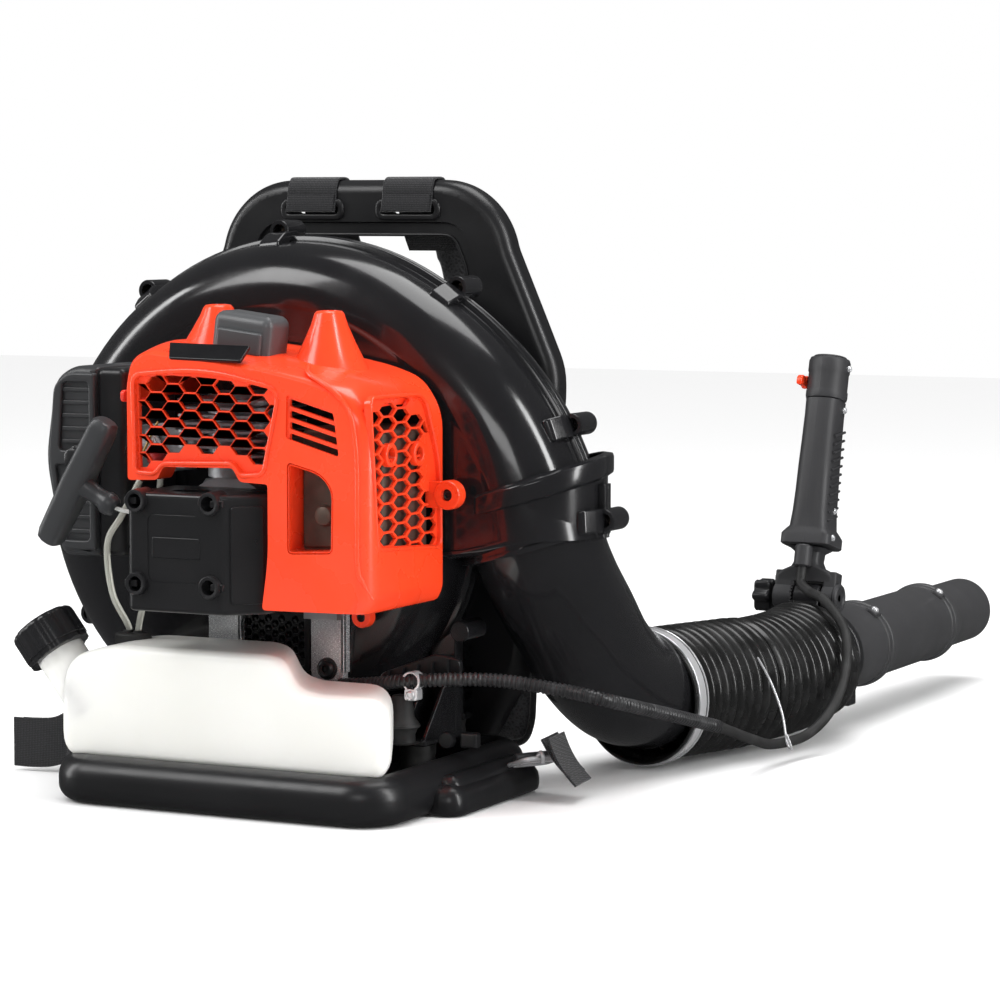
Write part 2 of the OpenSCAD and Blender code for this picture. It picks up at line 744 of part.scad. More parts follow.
module recoil_housing() {
    color([0.09, 0.09, 0.095]) difference() {
        union() {
            difference() {
                translate([0, 0, box_z0]) linear_extrude(box_z1 - box_z0) polygon(box_outline(0));
                translate([0, 0, box_z0 + 3]) linear_extrude(box_z1 - box_z0 - 6) polygon(box_outline(3));
            }
            // screw tunnels that stand proud of the front face
            for (x = sleeve_x) for (z = sleeve_z) along_y(x, box_y0 - 4, z) cylinder(r = 9, h = 12);
            along_y(crank_x, box_y0 + 2, crank_z) cylinder(r = 6, h = 26);
        }
        for (x = sleeve_x) for (z = sleeve_z) along_y(x, box_y0 - 5, z) cylinder(r = 6.5, h = 20);
        translate([box_x0 - over, -196, rope_z]) rotate([0, 90, 0]) cylinder(r = 4, h = 6);
        translate([-30, -186, box_z1 - 4]) cube([40, 14, 6]);
    }
}

pulley_y = -203;

module recoil_pulley() {
    color([0.85, 0.84, 0.80]) along_y(crank_x, pulley_y, crank_z) difference() {
        rotate_extrude() polygon([[6 + fit, 0], [30, 0], [30, 2], [23, 4], [23, 8], [30, 10], [30, 12],
            [6 + fit, 12]]);
        for (k = [0 : 2]) rotate([0, 0, 120 * k]) translate([14, 0, 6]) cylinder(r = 2, h = 8);
    }
}

// Flat spiral strip of thickness t from radius r0 to r1
function spiral(r0, r1, turns, t) = let (n = turns * 24, edge = function (d)
    [for (i = [0 : n]) let (a = 15 * i, r = r0 + (r1 - r0) * i / n + d) [r * cos(a), r * sin(a)]],
    o = edge(t), i = edge(0)) concat(o, [for (k = [n : -1 : 0]) i[k]]);

module recoil_spring() {
    color([0.5, 0.52, 0.56]) along_y(crank_x, pulley_y - 7, crank_z)
        linear_extrude(6) polygon(spiral(9, 29, 4.5, 0.7));
}

rope_end = [-80, -196, rope_z + 2];
rope_pts = [[box_x0 + 2, -196, rope_z], [-72, -196, rope_z + 1], rope_end];
pull_tilt = -60.3;

module starter_rope() {
    color([0.8, 0.8, 0.78]) sweep(route(rope_pts, 3), 1.8, n = 8);
}

module pull_handle() {
    color([0.13, 0.13, 0.135]) translate(rope_end) rotate([0, pull_tilt, 0]) {
        translate([0, 0, 1]) cylinder(r1 = 7, r2 = 10, h = 10);
        translate([0, 0, 11]) cylinder(r = 7, h = 24);
        translate([0, 0, 44]) cube([118, 24, 22], center = true);
    }
}

// ---------- carburettor and air cleaner ----------

inlet_z = cyl_z0 + 22;

module carburettor() {
    color([0.6, 0.61, 0.63]) difference() {
        union() {
            translate([crank_x - 56, eng_y - 18, inlet_z - 16]) cube([9.9, 36, 32]);
            translate([crank_x - 90, eng_y - 17, inlet_z - 19]) cube([34.1, 34, 38]);
            along_y(crank_x - 76, eng_y - 26, inlet_z + 12) cylinder(r = 5, h = 10, $fn = 6);
        }
        along_x(crank_x - 100, eng_y, inlet_z) cylinder(r = 8, h = 60);
        // pocket that the primer bulb is pressed into
        along_y(bulb[0], bulb[1] - over, bulb[2]) cylinder(r = 8.8, h = over + 4.5);
    }
}

filter_x0 = -182;
filter_x1 = crank_x - 90.2;
filter_y0 = -152;
filter_z0 = 204;
filter_h = 158;
filter_d = 84;

module air_filter_body() {
    color([0.12, 0.12, 0.125]) difference() {
        translate([filter_x1 - 26, filter_y0, filter_z0]) cube([26, filter_d, filter_h]);
        translate([filter_x1 - 27, filter_y0 + 3, filter_z0 + 3]) cube([23, filter_d - 6, filter_h - 6]);
        along_x(filter_x1 - 10, eng_y, inlet_z) cylinder(r = 8, h = 20);
        along_x(filter_x1 - 10, eng_y - 28, filter_z0 + 136) cylinder(r = 3, h = 20);
    }
}

module air_filter_element() {
    color([0.75, 0.72, 0.6]) difference() {
        translate([filter_x1 - 50, filter_y0 + 8, filter_z0 + 10]) cube([40, filter_d - 16, filter_h - 24]);
        translate([filter_x1 - 40, filter_y0 + 20, filter_z0 + 22]) cube([31, filter_d - 40, filter_h - 48]);
    }
}

module air_filter_cover() {
    w = filter_x1 - 26.2 - filter_x0;
    color([0.11, 0.11, 0.115]) difference() {
        translate([filter_x0, filter_y0, filter_z0]) cube([w, filter_d, filter_h]);
        translate([filter_x0 + 3, filter_y0 + 3, filter_z0 + 3]) cube([w, filter_d - 6, filter_h - 6]);
        // louvres in the front face
        for (k = [0 : 5]) translate([filter_x0 + 12, filter_y0 - over, filter_z0 + 24 + 20 * k])
            rotate([0, -25, 0]) cube([38, 5, 7]);
    }
}

choke = [filter_x1 + 6, eng_y - 28, filter_z0 + 136];

module choke_lever() {
    color([0.75, 0.12, 0.08]) {
        along_x(choke[0] - 12, choke[1], choke[2]) cylinder(r = 3 - fit, h = 12);
        along_x(choke[0], choke[1], choke[2]) cylinder(r = 7, h = 4);
        translate([choke[0], choke[1] - 30, choke[2] - 4]) cube([4, 28, 8]);
    }
}

bulb = [crank_x - 73, eng_y - 17, inlet_z - 8];

module primer_bulb() {
    color([0.6, 0.1, 0.1]) translate([bulb[0], bulb[1], bulb[2]]) rotate([90, 0, 0]) {
        cylinder(r = 8.5, h = 4);
        translate([0, 0, 4]) intersection() {
            sphere(r = 8);
            translate([0, 0, 10]) cube(20, center = true);
        }
    }
}

// ---------- engine cover ----------

cov_x0 = -71;
cov_x1 = 158;
cov_y0 = -197;
cov_y1 = -70;
cov_z0 = 168;
cov_z1 = 388;
step_x = 66;
step_z = 281;
cov_t = 3;
lip = 22;

function cover_outline(t) = concat(
    arc(cov_x1 - 26, cov_z0 + 14, 14 - t, -90, 0, 4) + [for (k = [0 : 4]) [12, 0]],
    arc(cov_x1 - 34, cov_z1 - 54, 34 - t, 0, 60, 5),
    arc(cov_x0 + 24, cov_z1 - 24, 24 - t, 90, 180, 5),
    [[cov_x0 + t, step_z + t], [step_x + t, step_z + t], [step_x + t, cov_z0 + t]]);

// The top falls away to the right between these two points
top_a = [cov_x0 + 24, cov_z1];
top_b = [cov_x1 - 34 + 34 * cos(60), cov_z1 - 54 + 34 * sin(60)];
top_fall = atan((top_a[1] - top_b[1]) / (top_b[0] - top_a[0]));
function top_at(x) = cov_z1 - (x - top_a[0]) * tan(top_fall);

module hex_field(x0, z0, nx, nz, r) {
    px = r * 1.72;
    pz = r * 1.98;
    for (i = [0 : nx - 1]) for (j = [0 : nz - 1])
        translate([x0 + px * i, z0 + pz * (j + (i % 2) * 0.5)]) circle(r = r * 0.92, $fn = 6);
}

module engine_cover() {
    color([0.95, 0.16, 0.07]) difference() {
        union() {
            difference() {
                plate(cov_y0, cov_y1 - cov_y0) polygon(cover_outline(0));
                plate(cov_y0 + cov_t, cov_y1 - cov_y0) polygon(cover_outline(cov_t));
            }
            // raised bosses on the top
            for (x = [-26, 68]) translate([x, -128, top_at(x) - 6]) ring(16, 9, 30);
            // lugs for the cover screws
            for (z = [cov_z0 + 14, 256]) along_y(cov_x1 + 6, cov_y1 - 12, z) ring(9, 3, 12);
        }
        // the step walls are only a short return behind the front face
        plate(cov_y0 + lip, cov_y1 - cov_y0) {
            translate([cov_x0 + cov_t, step_z - over]) square([step_x - cov_x0, cov_t + 2 * over]);
            translate([step_x - over, cov_z0 + cov_t]) square([cov_t + 2 * over, step_z - cov_z0]);
            translate([cov_x0 - over, step_z - over]) square([cov_t + 2 * over, 62]);
        }
        plate(cov_y0 - over, cov_t + 2 * over) {
            hex_field(-55, 292, 8, 4, 8);
            // slanted slots and the window over the muffler
            for (k = [0 : 3]) translate([82, 296 + 15 * k]) rotate([0, 0, -7]) square([50, 7]);
            translate([78, 206]) square([40, 74]);
        }
        translate([cov_x1 + over, 0, 0]) rotate([90, 0, 90]) translate([0, 0, -cov_t - 2 * over])
            linear_extrude(cov_t + 3 * over) hex_field(-172, 222, 7, 7, 8);
        // air way over the recoil slot
        translate([-30, cov_y0 + 8, step_z - over]) cube([60, 40, cov_t + 2 * over]);
    }
}

cap_x = 21;

module engine_cover_cap() {
    color([0.2, 0.2, 0.21]) translate([cap_x, -150, top_at(cap_x) + 0.2]) rotate([0, top_fall, 0])
        linear_extrude(26) polygon(rrect(58, 34, 8));
}

// ---------- fuel ----------

tank_x0 = -146;
tank_x1 = 170;
tank_y0 = -186;
tank_y1 = -98;
tank_z0 = rail_h + 1;
tank_top = 133;
tank_low = 103;
tank_t = 3;
tank_taper = 28;

function tank_outline(t) = concat(
    arc(tank_x0 + 22, tank_z0 + 22, 22 - t, 180, 270, 5),
    arc(tank_x1 - 22, tank_z0 + 22, 22 - t, 270, 360, 5),
    arc(tank_x1 - 16, tank_low - 16, 16 - t, 0, 90, 5),
    [[100, tank_low - t], [86, tank_low + 4 - t], [72, tank_top - 8 - t], [56, tank_top - t]],
    arc(tank_x0 + 34, tank_top - 14, 14 - t, 90, 150, 4));

neck = [tank_x0, -164, 104];
neck_tilt = -38;
grommet = [-106, -132, tank_top];

// Tank body with walls set in by t; its rear right corner is cut away to clear the front mount
module tank_body(t) {
    difference() {
        plate(tank_y0 + t, tank_y1 - tank_y0 - 2 * t) polygon(tank_outline(t));
        translate([tank_x1 - 2 - 1.14 * t, tank_y0 + 20, 0]) rotate([0, 0, tank_taper])
            cube([200, 200, 200]);
    }
}

module neck_rod(r, z0, z1) {
    translate(neck) rotate([0, neck_tilt, 0]) translate([0, 0, z0]) cylinder(r = r, h = z1 - z0);
}

module fuel_tank() {
    color([0.93, 0.93, 0.90]) difference() {
        union() {
            tank_body(0);
            neck_rod(21, -38, 34);
        }
        tank_body(tank_t);
        neck_rod(18, -37, 60);
        translate([grommet[0], grommet[1], tank_top - 6]) cylinder(r = 12, h = 12);
    }
}

module tank_cap() {
    color([0.07, 0.07, 0.075]) translate(neck) rotate([0, neck_tilt, 0]) translate([0, 0, 20.2]) {
        difference() {
            cylinder(r = 28, h = 32);
            translate([0, 0, -over]) cylinder(r = 24, h = 15);
        }
        for (k = [0 : 23]) rotate([0, 0, 15 * k]) translate([27.5, -1.5, 3]) cube([2, 3, 26]);
        translate([0, 0, 6]) cylinder(r = 18 - fit, h = 9);
    }
}

feed_pts = [[-109, -132, 60], [-109, -132, 136], [-114, -150, 172], [-112, -159, 215], [-98, -160, 240],
    [-88, -148, inlet_z - 23]];
return_pts = [[-103, -132, 70], [-103, -132, 136], [-92, -134, 172], [-84, -132, 210],
    [-80, -128, inlet_z - 22]];

module fuel_lines() {
    color([0.12, 0.12, 0.12]) translate([grommet[0], grommet[1], tank_top - 3]) ring(12, 6, 6);
    color([0.85, 0.86, 0.82])
    for (line = [feed_pts, return_pts]) sweep(route(line, 4), 2.6, n = 10);
}

leg_x = [33, -68];
leg_w = 32;
leg_y = -72;
leg_t = 4;
leg_top = 159;
leg_low = 98;

// Bracket legs under the engine: the left one stands on the base, the right one on the fan housing
module mount_legs() {
    color([0.78, 0.79, 0.80]) {
        translate([leg_x[0], leg_y, leg_low]) cube([leg_w, leg_t, leg_top - leg_low]);
        translate([leg_x[0], leg_y, leg_low]) cube([leg_w, -half_t - leg_y, 10]);
        translate([leg_x[1], leg_y, floor_h]) cube([leg_w, leg_t, leg_top - floor_h]);
        translate([leg_x[1], leg_y, floor_h]) cube([leg_w, 16, leg_t]);
    }
}

// ---------- controls ----------

module handle_bracket() {
    color([0.08, 0.08, 0.085]) {
        along_y(pipe_x, pivot[1] - 16, pipe_z) ring(pipe_r + 5, pipe_r + 0.1, 34, $fn = fine);
        difference() {
            union() {
                translate([pivot[0] - 9, pivot[1] - 12, pipe_z + pipe_r + 2.5])
                    cube([26, 24, pivot[2] - pipe_z - pipe_r - 2]);
                along_x(pivot[0] - 9, pivot[1], pivot[2]) cylinder(r = barrel_r, h = 26);
            }
            along_x(pivot[0] - 10, pivot[1], pivot[2]) cylinder(r = 4 + fit, h = 28);
        }
    }
}

module bracket_knob() {
    color([0.07, 0.07, 0.075]) {
        along_x(pivot[0] - barrel_half - 18, pivot[1], pivot[2]) {
            cylinder(r = 14, h = 17);
            for (k = [0 : 5]) rotate([0, 0, 60 * k]) translate([14, 0, 0]) cylinder(r = 3, h = 17);
        }
        along_x(pivot[0] - barrel_half - 2, pivot[1], pivot[2]) cylinder(r = 4, h = 2 * barrel_half + 4);
    }
}

// Places a shape in the handle's own axes
module on_grip() {
    translate(pivot) rotate([-lean, 0, 0]) children();
}

// One half of the grip; the left one carries the fork of the pivot
module grip_half(s) {
    difference() {
        union() {
            translate([0, 0, grip_z0]) linear_extrude(14) polygon(rrect(46, 40, 10));
            translate([0, 0, grip_z0 + 14]) linear_extrude(grip_z1 - grip_z0 - 14)
                polygon(rrect(2 * grip_r, 2 * grip_r + 8, 14));
            translate([0, 0, grip_z1]) cylinder(r = grip_r + 3, h = head_z - grip_z1);
            translate([-11, -11, 28]) cube([22, 22, 21]);
            translate([0, -17, 26]) cylinder(r = 9, h = 23);
            // fork cheeks beside the bracket barrel
            for (x = [-barrel_half + 2, 18]) along_x(x, 0, 0) cylinder(r = barrel_r, h = 14);
            translate([-barrel_half + 2, -8, 13]) cube([2 * barrel_half - 4, 16, 16]);
            for (x = [-barrel_half + 2, 18]) translate([x, -8, 0]) cube([14, 16, 20]);
        }
        // hollow for the throttle linkage
        translate([0, 0, grip_z0 + 5]) linear_extrude(grip_z1 - grip_z0 + 20)
            polygon(rrect(2 * grip_r - 6, 2 * grip_r + 2, 10));
        translate([0, 0, 20]) cylinder(r = 4.5, h = 60);
        along_x(-40, 0, 0) cylinder(r = 4 + fit, h = 80);
        translate([0, -17, 25]) cylinder(r = 5.3, h = 14);
        // slot of the trigger
        translate([-5.5, 6, trig_z - 8]) cube([11, 30, 82]);
        // only one side is kept
        translate([s > 0 ? -200 : 0, -100, -50]) cube([200, 200, 400]);
        translate([s > 0 ? 0 : -0.02, -100, -50]) cube([0.02, 200, 400]);
    }
}

module grip_left() {
    color([0.12, 0.12, 0.125]) on_grip() grip_half(-1);
}

module grip_right() {
    color([0.12, 0.12, 0.125]) on_grip() grip_half(1);
}

module throttle_trigger() {
    color([0.08, 0.08, 0.085]) on_grip() translate([-5, 0, 0]) rotate([90, 0, 90]) linear_extrude(10)
        polygon([[trig_y - 5, trig_z - 4], [trig_y + 3, trig_z - 5], [trig_y + 10, trig_z + 2],
            [trig_y + 22, trig_z + 56], [trig_y + 19, trig_z + 62], [trig_y + 13, trig_z + 62],
            [trig_y + 9, trig_z + 56], [trig_y - 5, trig_z + 3]]);
}

lever_z = 208;

module thumb_lever() {
    color([0.95, 0.22, 0.06]) on_grip() {
        along_x(-grip_r - 9, 0, lever_z) cylinder(r = 6, h = 5.8);
        translate([-grip_r - 9, -16, lever_z - 4]) cube([5.8, 16, 8]);
    }
}

conduit_pts = [[72, -92, 98], [104, -90, 101], [142, -92, 106], [205, -72, 108], [262, -61, 102],
    [302, -50, 94], [320, 31, 73], [330, 110, 53]];
cable_pts = [[330.2, 111.5, 52.7], [334, 180, 32], [331, 236, 20], [338, 296, 20], [347, 334, 38],
    [350, 362, 68], [341, 386, 104], [316, 400, 130], [292, 420, 136], [279.5, 431, 142],
    [278, 434.3, 150], [278, 437, 160]];

module throttle_conduit() {
    color([0.10, 0.10, 0.10]) sweep(route(conduit_pts, 10), 5, 0.9, 10);
}

module throttle_cable() {
    color([0.09, 0.09, 0.09]) sweep(route(cable_pts, 5), 5, 0, 10);
}

base_frame();
backrest_frame();
back_pad();
shoulder_straps();
strap_webbing();
strap_buckles();
vibration_mounts();
volute_front();
volute_rear();
volute_screws();
intake_screen();
cooling_screen();
impeller();
fan_nut();
elbow();
elbow_clamp();
hose_rear();
hose_mid_ring();
hose_front();
hose_end_clamp();
swivel_pipe();
middle_pipe();
nozzle_pipe();
pipe_joint_bolts();
crankcase();
crank_bearings();
crankshaft();
flywheel();
cylinder_block();  // cylinder
piston();
wrist_pin();
connecting_rod();
spark_plug();
ignition_coil();
muffler();
recoil_housing();
recoil_pulley();
recoil_spring();
starter_rope();
pull_handle();
carburettor();
air_filter_body();
air_filter_element();
air_filter_cover();
choke_lever();
primer_bulb();
engine_cover();
engine_cover_cap();
fuel_tank();
tank_cap();
fuel_lines();
mount_legs();
handle_bracket();
bracket_knob();
grip_left();
grip_right();
throttle_trigger();
thumb_lever();
throttle_conduit();
throttle_cable();
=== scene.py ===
"""Looks of the backpack leaf blower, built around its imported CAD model. Lengths are millimetres until
a mesh is made, which turns them into metres. The frame is the CAD's: +Z up, +Y along the blower tube."""

import math

import bmesh
import bpy
from mathutils import Matrix, Vector, geometry


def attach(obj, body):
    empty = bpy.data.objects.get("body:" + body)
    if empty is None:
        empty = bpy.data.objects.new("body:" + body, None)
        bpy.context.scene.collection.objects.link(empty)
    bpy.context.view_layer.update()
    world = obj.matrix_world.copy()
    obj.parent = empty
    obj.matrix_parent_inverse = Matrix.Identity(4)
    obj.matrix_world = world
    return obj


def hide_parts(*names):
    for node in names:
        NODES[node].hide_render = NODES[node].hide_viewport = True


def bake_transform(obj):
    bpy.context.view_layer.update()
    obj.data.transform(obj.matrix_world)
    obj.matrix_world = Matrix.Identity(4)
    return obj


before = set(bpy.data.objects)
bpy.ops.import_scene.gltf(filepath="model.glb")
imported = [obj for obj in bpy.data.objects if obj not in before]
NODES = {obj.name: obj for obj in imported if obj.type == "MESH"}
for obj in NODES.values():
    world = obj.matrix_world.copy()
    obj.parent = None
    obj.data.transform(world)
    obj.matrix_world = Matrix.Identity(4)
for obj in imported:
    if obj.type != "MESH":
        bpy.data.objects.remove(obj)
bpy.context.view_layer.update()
MM = 0.001

# ---------------------------------------------------------------- camera, lights and floor

CAMERA_PLACE = (1.45885, -2.5610, 0.49637)
CAMERA_PITCH = 85.0954
CAMERA_TURN = 26.6033
CAMERA_LENS = 122.55


def make_camera():
    camera = bpy.data.objects.new("camera", bpy.data.cameras.new("camera"))
    bpy.context.scene.collection.objects.link(camera)
    camera.location = CAMERA_PLACE
    camera.rotation_euler = (math.radians(CAMERA_PITCH), 0, math.radians(CAMERA_TURN))
    camera.data.lens = CAMERA_LENS
    camera.data.sensor_width = 36
    camera.data.clip_start = 0.05
    camera.data.clip_end = 40
    bpy.context.scene.camera = camera


def area_light(name, place, target, size, power, colour=(1, 1, 1)):
    data = bpy.data.lights.new(name, "AREA")
    data.shape = "RECTANGLE"
    data.size, data.size_y = size
    data.energy = power
    data.color = colour
    light = bpy.data.objects.new(name, data)
    bpy.context.scene.collection.objects.link(light)
    light.location = place
    light.rotation_euler = (Vector(target) - Vector(place)).to_track_quat("-Z", "Y").to_euler()


def make_world():
    """Soft light on surfaces, a dim studio in reflections to keep black plastic deep, a white backdrop."""
    world = bpy.data.worlds.new("studio")
    world.use_nodes = True
    tree = world.node_tree
    back = tree.nodes["Background"]
    path = tree.nodes.new("ShaderNodeLightPath")
    level = None
    for kind, share, start in (("Is Glossy Ray", -0.27, 0.35), ("Is Camera Ray", 0.65, 0.0)):
        step = tree.nodes.new("ShaderNodeMath")
        step.operation = "MULTIPLY_ADD"
        tree.links.new(path.outputs[kind], step.inputs[0])
        step.inputs[1].default_value = share
        step.inputs[2].default_value = start
        if level:
            tree.links.new(level, step.inputs[2])
        level = step.outputs["Value"]
    tree.links.new(level, back.inputs["Strength"])
    back.inputs["Color"].default_value = (1, 1, 1, 1)
    bpy.context.scene.world = world


def overhead_glow():
    """A wide soft light from above that whitens the floor as far as the horizon and leaves no highlight."""
    data = bpy.data.lights.new("overhead", "SUN")
    data.energy = 2.3
    data.angle = math.radians(60)
    light = bpy.data.objects.new("overhead", data)
    bpy.context.scene.collection.objects.link(light)
    light.visible_glossy = False


def make_studio():
    make_world()
    overhead_glow()
    bpy.context.scene.view_settings.view_transform = "Standard"
    middle = (0.05, 0.1, 0.25)
    area_light("key", (-1.5, -1.9, 2.3), middle, (1.1, 1.5), 34)
    area_light("strip_right", (2.3, -0.1, 1.1), (0.2, 0.2, 0.2), (0.35, 2.2), 34)
    area_light("strip_left", (-2.2, -0.8, 0.9), (-0.1, -0.1, 0.3), (0.35, 1.9), 20)
    area_light("top", (0.3, 0.5, 2.6), middle, (1.6, 1.4), 30)
    area_light("front", (0.9, -3.0, 1.3), (0.1, 0, 0.25), (1.2, 0.6), 9)
    bpy.ops.mesh.primitive_plane_add(size=14, location=(0, 0, -0.0005))
    floor = bpy.context.object
    floor.name = "floor"
    mat = bpy.data.materials.new("floor")
    mat.use_nodes = True
    mat.node_tree.nodes["Principled BSDF"].inputs["Base Color"].default_value = (0.93, 0.93, 0.93, 1)
    mat.node_tree.nodes["Principled BSDF"].inputs["Roughness"].default_value = 0.75
    floor.data.materials.append(mat)
    floor.visible_glossy = False


make_camera()
make_studio()

# ---------------------------------------------------------------- materials


class Nodes:
    """A short way to add shader nodes to one material."""

    def __init__(self, name):
        self.mat = bpy.data.materials.new(name)
        self.mat.use_nodes = True
        self.tree = self.mat.node_tree
        self.shader = self.tree.nodes["Principled BSDF"]
        self.place = self.add("ShaderNodeTexCoord").outputs["Object"]

    def add(self, kind, **values):
        node = self.tree.nodes.new(kind)
        for key, value in values.items():
            setattr(node, key, value)
        return node

    def link(self, a, b):
        self.tree.links.new(a, b)

    def stretched(self, scale):
        mapping = self.add("ShaderNodeMapping")
        mapping.inputs["Scale"].default_value = scale
        self.link(self.place, mapping.inputs["Vector"])
        return mapping.outputs["Vector"]

    def noise(self, scale, detail=3, stretch=None):
        node = self.add("ShaderNodeTexNoise")
        node.inputs["Scale"].default_value = scale
        node.inputs["Detail"].default_value = detail
        self.link(self.stretched(stretch) if stretch else self.place, node.inputs["Vector"])
        return node.outputs["Fac"]

    def cells(self, scale, feature="F1", stretch=None):
        node = self.add("ShaderNodeTexVoronoi", feature=feature)
        node.inputs["Scale"].default_value = scale
        self.link(self.stretched(stretch) if stretch else self.place, node.inputs["Vector"])
        return node.outputs["Distance"]

    def ramp(self, value, low, high, a, b):
        """Colour a below low and colour b above high."""
        node = self.add("ShaderNodeValToRGB")
        first, last = node.color_ramp.elements
        first.position, first.color = low, (*a, 1)
        last.position, last.color = high, (*b, 1)
        self.link(value, node.inputs["Fac"])
        return node.outputs["Color"]

    def span(self, value, low, high, to_low, to_high):
        node = self.add("ShaderNodeMapRange")
        for slot, number in zip(("From Min", "From Max", "To Min", "To Max"), (low, high, to_low, to_high)):
            node.inputs[slot].default_value = number
        self.link(value, node.inputs["Value"])
        return node.outputs["Result"]

    def mix(self, factor, a, b):
        node = self.add("ShaderNodeMix", data_type="RGBA")
        for value, socket in ((factor, node.inputs["Factor"]), (a, node.inputs["A"]),
                              (b, node.inputs["B"])):
            if isinstance(value, (tuple, float)):
                socket.default_value = (*value, 1) if isinstance(value, tuple) else value
            else:
                self.link(value, socket)
        return node.outputs["Result"]

    def add_height(self, height, strength, depth_mm, before=None):
        bump = self.add("ShaderNodeBump")
        bump.inputs["Strength"].default_value = strength
        bump.inputs["Distance"].default_value = depth_mm * MM
        self.link(height, bump.inputs["Height"])
        if before is not None:
            self.link(before, bump.inputs["Normal"])
        self.link(bump.outputs["Normal"], self.shader.inputs["Normal"])
        return bump.outputs["Normal"]

    def set(self, **values):
        for key, value in values.items():
            self.shader.inputs[key.replace("_", " ")].default_value = value


def shade(colour, factor):
    return tuple(min(1.0, c * factor) for c in colour)


def moulded(name, colour, rough, grain=900, grain_depth=0.05, wear=1.35, coat=0.0, spread=0.08):
    """Moulded plastic: faint cloudiness, fine grain, uneven gloss and edges rubbed a little lighter."""
    n = Nodes(name)
    cloud = n.noise(9, 4)
    body = n.ramp(cloud, 0.35, 0.7, shade(colour, 0.9), shade(colour, 1.1))
    edge = n.add("ShaderNodeNewGeometry").outputs["Pointiness"]
    worn = n.span(edge, 0.52, 0.6, 0.0, 0.6)
    n.link(n.mix(worn, body, shade(colour, wear)), n.shader.inputs["Base Color"])
    smudge = n.noise(22, 5)
    n.link(n.span(smudge, 0.3, 0.75, rough - spread / 2, rough + spread), n.shader.inputs["Roughness"])
    n.add_height(n.noise(grain, 2), 0.35, grain_depth)
    n.set(Coat_Weight=coat, Coat_Roughness=0.08)
    return n.mat


def rubber(name, colour, rough=0.5):
    n = Nodes(name)
    dust = n.noise(60, 6)
    n.link(n.ramp(dust, 0.4, 0.75, colour, shade(colour, 2.0)), n.shader.inputs["Base Color"])
    n.link(n.span(n.noise(30, 4), 0.3, 0.7, rough - 0.08, rough + 0.12), n.shader.inputs["Roughness"])
    n.add_height(n.noise(1400, 2), 0.3, 0.05)
    return n.mat


def metal(name, colour, rough, brush=(1, 1, 1), grain=500, depth=0.03, dirt=0.8):
    """Metal with streaks along one axis and a little tarnish."""
    n = Nodes(name)
    tarnish = n.noise(28, 6)
    n.link(n.ramp(tarnish, 0.35, 0.75, colour, shade(colour, dirt)), n.shader.inputs["Base Color"])
    n.link(n.span(n.noise(grain, 3, brush), 0.25, 0.75, rough * 0.75, rough * 1.35),
           n.shader.inputs["Roughness"])
    n.add_height(n.noise(grain, 2, brush), 0.4, depth)
    n.set(Metallic=0.65)
    return n.mat


def woven(name, colour, thread_mm, sheen=0.3, along=(1, 1, 1)):
    """Webbing: crossed threads from two wave patterns, with a fuzzy sheen."""
    n = Nodes(name)
    scale = 1 / (thread_mm * MM) / 6.2832 * 2
    heights = []
    for direction in ("X", "Z"):
        wave = n.add("ShaderNodeTexWave", bands_direction=direction)
        wave.inputs["Scale"].default_value = scale
        wave.inputs["Distortion"].default_value = 0.6
        wave.inputs["Detail Scale"].default_value = 30
        n.link(n.stretched(along), wave.inputs["Vector"])
        heights.append(wave.outputs["Fac"])
    peak = n.add("ShaderNodeMath", operation="MULTIPLY")
    n.link(heights[0], peak.inputs[0])
    n.link(heights[1], peak.inputs[1])
    fibre = n.noise(900, 4)
    # painted highlight on the threads' tops and painted shade in the dips between them, from the same height
    # as the bump
    painted_relief_shading = n.ramp(peak.outputs["Value"], 0.1, 0.8, shade(colour, 0.5), shade(colour, 1.5))
    n.link(n.mix(n.span(fibre, 0.4, 0.7, 0.0, 0.3), painted_relief_shading, shade(colour, 2.2)),
           n.shader.inputs["Base Color"])
    n.add_height(peak.outputs["Value"], 0.9, 0.35)
    n.set(Roughness=0.85, Sheen_Weight=sheen, Sheen_Roughness=0.4)
    return n.mat


def spacer_mesh(name, colour):
    """Breathable pad mesh: small round holes in a knitted face."""
    n = Nodes(name)
    holes = n.cells(420, "F1")
    # painted shade: the holes are painted dark and the knit between them lighter, from the same mask as the
    # bump
    painted_relief_shading = n.ramp(holes, 0.25, 0.55, shade(colour, 0.25), shade(colour, 1.4))
    fuzz = n.noise(1500, 3)
    n.link(n.mix(n.span(fuzz, 0.45, 0.7, 0.0, 0.25), painted_relief_shading, shade(colour, 2.5)),
           n.shader.inputs["Base Color"])
    n.add_height(holes, 0.8, 0.5)
    n.set(Roughness=0.9, Sheen_Weight=0.35, Sheen_Roughness=0.5)
    return n.mat


def tank_plastic(name):
    """Milky blow-moulded plastic that lets some light through."""
    n = Nodes(name)
    cloud = n.noise(7, 3)
    n.link(n.ramp(cloud, 0.3, 0.75, (0.74, 0.74, 0.70), (0.82, 0.82, 0.79)), n.shader.inputs["Base Color"])
    n.link(n.span(n.noise(16, 4), 0.3, 0.7, 0.3, 0.42), n.shader.inputs["Roughness"])
    n.add_height(n.noise(260, 3), 0.25, 0.12)
    n.set(Subsurface_Weight=0.35, Subsurface_Radius=(0.02, 0.02, 0.018), Subsurface_Scale=0.6, IOR=1.5)
    return n.mat


def clear_hose(name, colour):
    n = Nodes(name)
    n.link(n.ramp(n.noise(40, 4), 0.3, 0.7, colour, shade(colour, 0.8)), n.shader.inputs["Base Color"])
    n.link(n.span(n.noise(70, 3), 0.3, 0.7, 0.12, 0.25), n.shader.inputs["Roughness"])
    n.set(Transmission_Weight=0.55, IOR=1.42)
    return n.mat


